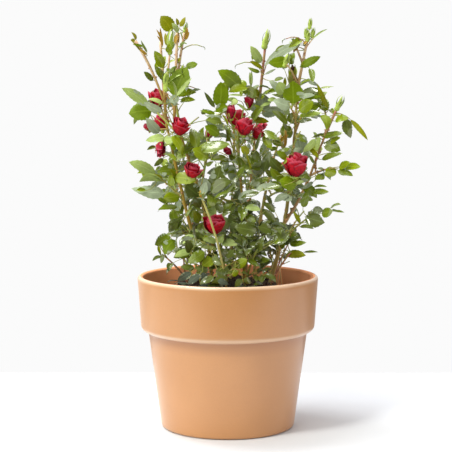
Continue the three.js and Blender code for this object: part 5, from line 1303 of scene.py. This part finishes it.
def blades_of(rows):
    """The corners of many leaflets at once, (parts, 58, 3)."""
    pick = lambda key: np.array([row[key] for row in rows], float)
    base, way, up = pick("base"), unit(pick("way")), unit(pick("up"))
    side = unit(np.cross(way, up))
    up = np.cross(side, way)
    length, curl, droop, sway = pick("length"), pick("curl"), pick("droop"), pick("sway")
    notches = [s + TOOTH_SHARE * (t - s) for s, t in zip(STATIONS[1:8], STATIONS[2:])]
    shares = np.array(STATIONS + notches)
    widths = np.interp(shares, STATIONS, HALF_WIDTHS)
    widths[9:] *= NOTCH
    half = 0.5 * length[:, None] * pick("width")[:, None] * widths[None]
    bow = np.maximum(curl, 0.02)[:, None]
    angle = bow * (0.5 - shares[None])
    forth = (np.sin(bow / 2) - np.sin(angle)) / bow
    lift = (np.cos(angle) - np.cos(bow / 2)) / bow - droop[:, None] * (
        np.clip(shares - 0.6, 0, 1) / 0.4)[None] ** 2
    bowed = sway[:, None] * 4 * shares * (1 - shares)
    spine = base[:, None] + length[:, None, None] * (
        way[:, None] * forth[..., None] + up[:, None] * lift[..., None]
        + side[:, None] * bowed[..., None])
    lifted = -way[:, None] * np.sin(angle)[..., None] + up[:, None] * np.cos(angle)[..., None]
    turn = np.radians(pick("twist"))[:, None] * shares[None]
    right = side[:, None] * np.cos(turn)[..., None] + lifted * np.sin(turn)[..., None]
    above = -side[:, None] * np.sin(turn)[..., None] + lifted * np.cos(turn)[..., None]
    fold = np.radians(pick("fold"))[:, None, None]
    outer = fold - np.radians(pick("spread") + 14)[:, None, None]
    wave, phase = pick("wave")[:, None], pick("phase")[:, None]
    spots = [spine[:, :9]]
    for sign, shift in ((-1, 0.0), (1, 2.1)):
        inner_way = sign * right * np.cos(fold) + above * np.sin(fold)
        outer_way = sign * right * np.cos(outer) + above * np.sin(outer)
        mids = spine + inner_way * (half * 0.5)[..., None]
        ripple = wave * half * np.sin(2 * pi * 1.4 * shares[None] + phase + shift)
        rims = mids + outer_way * (half * 0.5)[..., None] + above * ripple[..., None]
        spots += [mids[:, 1:8], rims[:, 1:8], rims[:, 9:]]
    spots.append(spine[:, 1:8] - above[:, 1:8] * LEAF_THICKNESS)
    return np.concatenate(spots, axis=1)


# Flowers: silky petals wrapped in a spiral round the flower's axis, each closed and 0.4 mm thick.
PETAL_ROWS, PETAL_COLUMNS = 6, 5
PETAL_THICKNESS, GOLDEN_TURN = 0.4, 137.5


def petal_form():
    rows, columns = PETAL_ROWS, PETAL_COLUMNS
    front = lambda u, v: u * columns + v
    inner = {}
    number = rows * columns
    for u in range(1, rows - 1):
        for v in range(1, columns - 1):
            inner[u, v] = number
            number += 1
    behind = lambda u, v: inner.get((u, v), front(u, v))
    polygons = []
    for u in range(rows - 1):
        for v in range(columns - 1):
            square = (u, v), (u + 1, v), (u + 1, v + 1), (u, v + 1)
            polygons.append(tuple(front(*corner) for corner in square))
            polygons.append(tuple(behind(*square[i]) for i in (0, 3, 2, 1)))
    uv = [(v / (columns - 1), u / (rows - 1)) for u in range(rows) for v in range(columns)]
    uv += [(v / (columns - 1), u / (rows - 1)) for u, v in inner]
    rims = [front(u, v) for u in range(rows) for v in range(columns) if (u, v) not in inner]
    return form(polygons, number, uv, rims), list(inner)


PETAL_FACES, PETAL_INNER = petal_form()


def ways_across(axis):
    """Two ways across an axis, square to each other."""
    right = unit(np.cross(axis, np.array([0.2, 1, 0.1])))
    return right, np.cross(axis, right)


def petals_of(root, axis, size, count, widest, closed, draws):
    """A spiral of petals from the closed heart to the open rim, (count, corners, 3)."""
    right, back = ways_across(axis)
    order = (np.arange(count) + 0.5) / count
    u = np.linspace(0, 1, PETAL_ROWS)[None, :, None]
    v = np.linspace(-1, 1, PETAL_COLUMNS)[None, None, :]
    t = order[:, None, None]
    each = (count, 1, 1)
    bearing = np.radians(GOLDEN_TURN * np.arange(count))[:, None, None] + draws.normal(0, 0.2, each)
    spread = np.radians(100 - 56 * t) * draws.uniform(0.85, 1.15, each)
    height = size * (0.7 + 0.12 * np.sin(pi * t)) * draws.uniform(0.86, 1.12, each)
    wide = size * (0.07 + (widest - 0.07) * t ** 0.8) * draws.uniform(0.9, 1.1, each)
    trimmed = u * (1 - 0.22 * np.abs(v + draws.uniform(-0.3, 0.3, each)) ** 2.2)
    shut = closed * (1 - t) ** 0.7
    flare = np.clip(t - 0.35, 0, 1) * (1 - closed) * 1.6 * draws.uniform(0.3, 1.5, each)
    radius = wide * np.sin(np.clip(trimmed * 1.2, 0, 1) ** 0.95 * pi / 2) * (1 - shut * trimmed ** 3)
    lip = np.clip((trimmed - 0.66) / 0.34, 0, 1) ** 2
    radius = radius + wide * flare * 0.6 * lip + size * 0.014 * v * (0.4 + u)
    radius = radius + size * 0.07 * flare * np.abs(v) ** 3 * u
    crumple = size * 0.04 * np.sin(draws.uniform(2.4, 5.2, each) * v + draws.uniform(0, 6.3, each))
    rise = height * (trimmed ** (1 + 0.35 * t)) - height * flare * 0.3 * lip - size * 0.1 * (1 - u) * t
    radius = np.maximum(radius + crumple * u ** 2 * (0.3 + t), size * 0.012)
    rise = rise + 0.6 * crumple[:, :, ::-1] * u ** 3
    angle = bearing + spread * v * (0.75 + 0.25 * u)
    spots = (root + axis * rise[..., None] + right * (radius * np.cos(angle))[..., None]
             + back * (radius * np.sin(angle))[..., None])
    outwards = right * np.cos(angle)[..., None] + back * np.sin(angle)[..., None]
    backs = spots + outwards * PETAL_THICKNESS
    behind = np.stack([backs[:, a, b] for a, b in PETAL_INNER], axis=1)
    return np.concatenate([spots.reshape(count, -1, 3), behind], axis=1)


# Turned forms as rings of (radius, height), for a flower of size 1
SPINDLE_SIDES = 8
SPINDLE_RINGS = {
    "hip": [(0.0, -0.16), (0.07, -0.14), (0.11, -0.07), (0.10, 0.02), (0.05, 0.06), (0.0, 0.07)],
    "bud": [(0.0, -0.12), (0.09, -0.1), (0.16, -0.03), (0.18, 0.06), (0.155, 0.14), (0.185, 0.25),
            (0.165, 0.4), (0.1, 0.58), (0.045, 0.76), (0.0, 0.92)],
    "slender": [(0.0, -0.12), (0.08, -0.1), (0.12, -0.03), (0.12, 0.05), (0.08, 0.11), (0.11, 0.22),
                (0.1, 0.42), (0.07, 0.62), (0.035, 0.8), (0.0, 0.95)],
    "spent": [(0.0, -0.16), (0.13, -0.12), (0.19, 0.0), (0.22, 0.16), (0.2, 0.34), (0.15, 0.5),
              (0.08, 0.58), (0.0, 0.6)],
}


def spindle(gathered, kind, root, axis, size, finish):
    """A small turned body on an axis, closed at both tips."""
    rings, sides = SPINDLE_RINGS[kind], SPINDLE_SIDES
    right, back = ways_across(axis)
    inside = rings[1:-1]
    spots = [root + axis * rings[0][1] * size]
    for radius, height in inside:
        for j in range(sides):
            angle = 2 * pi * j / sides
            spots.append(root + size * (axis * height + right * radius * cos(angle)
                                        + back * radius * sin(angle)))
    spots.append(root + axis * rings[-1][1] * size)
    top = len(spots) - 1
    polygons = []
    for j in range(sides):
        k = (j + 1) % sides
        polygons.append((0, 1 + k, 1 + j))
        for i in range(len(inside) - 1):
            a = 1 + i * sides
            polygons.append((a + j, a + k, a + sides + k, a + sides + j))
        a = 1 + (len(inside) - 1) * sides
        polygons.append((a + j, a + k, top))
    gathered.add(np.array(spots)[None], form(polygons, len(spots)), [[finish]])


RED, DEEP_RED, PETAL_GREEN, DRY, RIPE = range(5)
# What each kind of flower has. Its body is a turned form, of a size and a finish. Its petals start
# a share of its size up the axis, and have a size, a number, a width, how shut they are and a finish.
BODIES = {"bloom": ("hip", 1.1, PETAL_GREEN), "opening": ("hip", 1.1, PETAL_GREEN),
          "bud": ("bud", 1, PETAL_GREEN), "slender": ("slender", 1, PETAL_GREEN),
          "spent": ("spent", 1, RIPE)}
PETALS = {"bloom": (0, 1, 24, 0.46, 0.42, RED), "opening": (0, 1.15, 12, 0.29, 0.72, DEEP_RED),
          "spent": (0.42, 0.42, 7, 0.34, 0.8, DRY)}
# Its sepals start a share of its size up the axis, and have a lean from it in degrees, a length, a
# curl, a droop, a width and a tint.
SEPALS = {
    "bloom": (-0.02, 78, 0.55, 0.9, 0.1, 0.24, CALYX),
    "opening": (-0.03, 30, 0.6, 0.5, -0.1, 0.24, CALYX),
    "bud": (0.1, 3, 0.92, 1.0, 0.1, 0.16, CALYX),
    "slender": (0.1, 3, 0.92, 1.0, 0.1, 0.11, CALYX),
    "spent": (0, 8, 0.8, 0.6, 0.1, 0.2, OLIVE_LEAF),
    "buds": (0, 2, 0.95, 0.8, 0.05, 0.17, CALYX),
}
# The buds of a cluster: how far each leans aside and back, how long its stalk is, and their size
CLUSTER = [(-0.19, -0.05, 1.02), (0.04, 0.12, 0.43), (-0.92, 0.1, 0.6), (-0.7, -0.25, 0.2)]
BUD_IN_CLUSTER = 0.72
blossom = Gathered()
blossom_nodes = set()


def sepals(name, kind, root, axis, size, draws):
    """Five narrow pointed sepals round the axis."""
    start, lean, length, curl, droop, width, tint = SEPALS[kind]
    root = root + axis * size * start
    right, back = ways_across(axis)
    for i in range(5):
        angle = radians(72 * i + draws.uniform(-9, 9))
        out = right * cos(angle) + back * sin(angle)
        way = unit(axis * cos(radians(lean)) + out * sin(radians(lean)))
        up = unit(out * cos(radians(lean)) - axis * sin(radians(lean)))
        add_blade(name, draws, root + out * size * 0.1, way, up,
                  size * length * draws.uniform(0.85, 1.1), tint, width=width, fold=-18, curl=curl,
                  droop=droop, under=UNDER)
        leaflets[-1]["twist"] *= 0.2


for name, kind, point, way, heading, size, tint in flowers:
    if kind not in SEPALS:
        continue
    blossom_nodes.add(name)
    draws = np.random.default_rng(int(abs(point[0] * 5 + point[2] * 11)) + 3)
    if kind in PETALS:
        start, scale, *opened, finish = PETALS[kind]
        petals = petals_of(point + way * size * start, way, size * scale, *opened, draws)
        blossom.add(petals, PETAL_FACES, [[finish]])
    if kind != "buds":
        body, scale, finish = BODIES[kind]
        spindle(blossom, body, point, way, size * scale, finish)
        sepals(name, kind, point, way, size, draws)
        continue
    side = unit(np.cross(way, BACK))
    for x, y, stalk in CLUSTER:
        aside = unit(way + side * x + BACK * y)
        foot = point + aside * size * stalk
        add_tubes(blossom, [[point - way * 2, point + aside * size * stalk * 0.5, foot]],
                  np.full((1, 3), 0.7), 5, [PETAL_GREEN])
        upwards = unit(way + (aside - way) * 0.15)
        spindle(blossom, "bud", foot, upwards, size * BUD_IN_CLUSTER, PETAL_GREEN)
        sepals(name, kind, foot, upwards, size * BUD_IN_CLUSTER, draws)


# Leaf finishes. A rose leaf has a waxed skin above, so it is glossy, with the side veins sunk
# every 3 mm; its underside is matt, paler and greyer, with the veins raised.
VEINS_ALONG, VEIN_SLANT = 7.5, -0.75


def leaf_finish(name, colour, vein, roughness, veins, coat=0.0, specular=0.25):
    made, tree, shader = finish_of(name, Roughness=roughness, Specular_IOR_Level=specular,
                                   Coat_Weight=coat, Coat_Roughness=0.12)
    laid = node(tree, "UVMap", uv_map="along")
    parts = node(tree, "SeparateXYZ", {"Vector": (laid, "UV")})
    away = node(tree, "Math", {0: (parts, "X"), 1: 0.5}, operation="SUBTRACT")
    off = node(tree, "Math", {0: (away, "Value")}, operation="ABSOLUTE")
    slant = node(tree, "Math", {0: (off, "Value"), 1: VEIN_SLANT, 2: (parts, "Y")},
                 operation="MULTIPLY_ADD")
    count = node(tree, "Math", {0: (slant, "Value"), 1: VEINS_ALONG}, operation="MULTIPLY")
    beat = node(tree, "Math", {0: (count, "Value"), 1: 0.5}, operation="PINGPONG")
    side_vein = node(tree, "MapRange", {"Value": (beat, "Value")},
                     From_Max=0.16, To_Min=1.0, To_Max=0.0)
    midrib = node(tree, "MapRange", {"Value": (off, "Value")},
                  From_Min=0.015, From_Max=0.05, To_Min=0.6, To_Max=0.0)
    veined = node(tree, "Math", {0: (side_vein, "Result"), 1: 0.25, 2: (midrib, "Result")},
                  operation="MULTIPLY_ADD", use_clamp=True)
    place = node(tree, "TexCoord")
    cloud = node(tree, "TexNoise", {"Vector": (place, "Object")}, Scale=90, Detail=3, Roughness=0.55)
    varied = node(tree, "MapRange", {"Value": (cloud, "Fac")},
                  From_Min=0.3, From_Max=0.7, To_Min=0.82, To_Max=1.16)
    toned = node(tree, "MixRGB", {"Color2": (varied, "Result")}, blend_type="MULTIPLY", Fac=1.0,
                 Color1=linear(colour))
    ribbed = node(tree, "MixRGB", {"Fac": (veined, "Value"), "Color1": (toned, "Color")},
                  Color2=linear(vein))
    tree.links.new(ribbed.outputs["Color"], shader.inputs["Base Color"])
    sunk = node(tree, "Bump", {"Height": (veined, "Value")}, Strength=veins, Distance=0.0004)
    tree.links.new(sunk.outputs["Normal"], shader.inputs["Normal"])
    return made


LEAF_FINISHES = [
    leaf_finish("leaf_fresh_gloss", "#829404", "#A0B03A", 0.3, -0.4, 0.4),
    leaf_finish("leaf_mature_gloss", "#697B0E", "#8A9A3C", 0.28, -0.5, 0.7),
    leaf_finish("leaf_shaded_gloss", "#576320", "#72843C", 0.28, -0.5, 0.8),
    leaf_finish("leaf_young_wax", "#8E8E14", "#A08428", 0.36, -0.3),
    # The pale shoot and underside tints are also laid on the faces of some single leaves as painted
    # highlight.
    leaf_finish("leaf_pale_shoot", "#AEC272", "#C0CE8C", 0.42, -0.3),
    leaf_finish("leaf_underside", "#9AA788", "#B6C6A2", 0.5, 0.5),
    leaf_finish("leaf_underside_fresh", "#9CB060", "#B2C67E", 0.55, 0.5),
    leaf_finish("leaf_withered", "#4E5A4A", "#6B7462", 0.7, 0.4),
    leaf_finish("sepal_green", "#A4B850", "#BCCC78", 0.5, 0.3),
    leaf_finish("leaf_bronze_young", "#AC862A", "#BC9A44", 0.4, -0.3),
    leaf_finish("leaf_deep_gloss", "#6A8000", "#869C26", 0.4, -0.4, 0.0, 0.2),
    leaf_finish("leaf_olive_gloss", "#808600", "#98981C", 0.4, -0.4, 0.0, 0.2),
]


def stem_finish(name, colour, flush, roughness, older=None):
    """Green wood of this year's twigs: smooth, flushed where the sun reached it, and where it has
    an older end, riper from 490 mm down to 440 mm above the ground."""
    made, tree, shader = finish_of(name, Roughness=roughness)
    place = node(tree, "TexCoord")
    cloud = node(tree, "TexNoise", {"Vector": (place, "Object")}, Scale=120, Detail=3, Roughness=0.6)
    spread = node(tree, "MapRange", {"Value": (cloud, "Fac")}, From_Min=0.38, From_Max=0.62)
    tone = node(tree, "MixRGB", {"Fac": (spread, "Result")},
                Color1=linear(colour), Color2=linear(flush))
    if older:
        parts = node(tree, "SeparateXYZ", {"Vector": (place, "Object")})
        age = node(tree, "MapRange", {"Value": (parts, "Z")}, From_Min=0.49, From_Max=0.44)
        tone = node(tree, "MixRGB", {"Fac": (age, "Result"), "Color1": (tone, "Color")},
                    Color2=linear(older))
    tree.links.new(tone.outputs["Color"], shader.inputs["Base Color"])
    return made


TWIG_FINISHES = [
    stem_finish("twig_green", "#8CA040", "#A89A4C", 0.42),
    stem_finish("twig_tan", "#DCC49C", "#C8A07C", 0.45, "#A8883C"),
    stem_finish("twig_red", "#A86A56", "#B0925E", 0.42),
    stem_finish("twig_straw", "#B4B06A", "#A8A050", 0.45),
    rose_bark("twig_prickle", "#A5623C", "#C99A6A", 0.45),
]


# Rose petals: velvety skin whose sheen scatters light at its edges, with painted shade in patches for
# its folds and towards its base, and a painted pink highlight along its rim.
def petal_finish(name, colour, shade_colour, rim):
    made, tree, shader = finish_of(name, Roughness=0.5, Specular_IOR_Level=0.2, Sheen_Weight=0.08,
                                   Sheen_Roughness=0.4, Sheen_Tint=linear("#FF9AA6"))
    laid = node(tree, "UVMap", uv_map="along")
    parts = node(tree, "SeparateXYZ", {"Vector": (laid, "UV")})
    place = node(tree, "TexCoord")
    cloud = node(tree, "TexNoise", {"Vector": (place, "Object")}, Scale=300, Detail=3, Roughness=0.6)
    # Painted shade: darker in patches for the folds, and darker towards the petal's base.
    painted_fold_shade = node(tree, "MapRange", {"Value": (cloud, "Fac")}, From_Min=0.42, From_Max=0.66, To_Max=0.65)
    painted_base_shade = node(tree, "MapRange", {"Value": (parts, "Y")},
                 From_Min=0.1, From_Max=0.9, To_Min=0.5, To_Max=-0.1)
    painted_shade = node(tree, "Math", {0: (painted_fold_shade, "Result"), 1: (painted_base_shade, "Result")}, operation="ADD",
                 use_clamp=True)
    tone = node(tree, "MixRGB", {"Fac": (painted_shade, "Value")}, Color1=linear(colour), Color2=linear(shade_colour))
    # Painted highlight: paler pink along the petal's rim.
    pale_highlight = node(tree, "MapRange", {"Value": (parts, "Y")}, From_Min=0.86, To_Max=0.6)
    edged = node(tree, "MixRGB", {"Fac": (pale_highlight, "Result"), "Color1": (tone, "Color")},
                 Color2=linear(rim))
    tree.links.new(edged.outputs["Color"], shader.inputs["Base Color"])
    return made


# Each petal finish has its own colour, then the colour of its painted shade, then that of its painted
# rim highlight.
PETAL_FINISHES = [
    petal_finish("petal_red_velvet", "#C00220", "#500014", "#E26E88"),
    petal_finish("petal_crimson_velvet", "#B6062E", "#560420", "#E07890"),
    leaf_finish("hip_green", "#A8BE54", "#BACC70", 0.45, 0.2),
    petal_finish("petal_withered", "#4A2620", "#2A1512", "#7A5A4A"),
    leaf_finish("hip_ripe", "#84803A", "#968E4C", 0.5, 0.2),
]

# The foliage and the blossom, as joined pieces. Leaves and twigs are joined by the part of the bush
# that they grow in, each as one mesh with several finishes.
PRICKLES_ON_STEM = 4
PARTS = {
    "left": ("left_tips", "left_inner_tips", "left_blooms", "left_front_blooms", "left_side",
             "left_low", "low_left"),
    "centre": ("centre_left", "centre_cluster", "centre_middle", "centre_low", "slim_tips",
               "slim_side"),
    "right": ("right_tips", "right_upper", "right_inner", "right_bloom", "outer_tips", "outer_side",
              "outer_low", "low_right"),
    "back": ("back_left_tips", "back_left_side", "back_centre_tips", "back_centre_side",
             "back_right_tips", "back_right_side"),
    "low": ("low_front_left", "low_front", "low_front_right", "low_back_right", "low_back",
            "low_back_left"),
}
for part, names in PARTS.items():
    rows = [row for row in leaflets if row["mass"] in names]
    leaves = Gathered()
    tints = np.array([row["tint"] for row in rows])[:, None]
    unders = np.array([row["under"] for row in rows])[:, None]
    leaves.add(blades_of(rows), BLADE_FACES, np.where(BLADE_BELOW[None], unders, tints))
    leaf_piece = leaves.mesh("leaves_" + part, LEAF_FINISHES)

    wooden = Gathered()
    for name, curve, radii, finish, sides in twigs:
        if name not in names:
            continue
        on_stem = sides > 4
        count = 9 if on_stem else 5
        draws = np.random.default_rng(int(abs(curve[2][0] * 3 + curve[2][2])))
        width = np.linspace(*radii, count)
        add_tubes(wooden, line_on(curve, count)[None], width[None], sides + 1, [finish])
        if on_stem:
            for _ in range(PRICKLES_ON_STEM):
                share = draws.uniform(0.1, 0.8)
                add_prickle(wooden, draws, curve, share, 0.9 * np.interp(share, (0, 1), radii),
                            (1.5, 2.4), TWIG_PRICKLE)
    lines = [line for name, line, length in rachises if name in names]
    lengths = np.array([length for name, line, length in rachises if name in names])
    shape = np.array([1.0, 0.72, 0.6, 0.5])[None] * np.clip(lengths / 60, 0.6, 1)[:, None] * 0.9
    add_tubes(wooden, lines, shape, 5, [GREEN_TWIG] * len(lines))
    lines = [line for name, line in stalks if name in names]
    add_tubes(wooden, lines, np.full((len(lines), 2), 0.42), 4, [GREEN_TWIG] * len(lines))
    twig_piece = wooden.mesh("twigs_" + part, TWIG_FINISHES)
    for piece in (leaf_piece, twig_piece):
        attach(piece, "root")
        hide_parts(*names)

blossom_piece = blossom.mesh("blossom", PETAL_FINISHES)
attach(blossom_piece, "root")
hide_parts(*sorted(blossom_nodes))
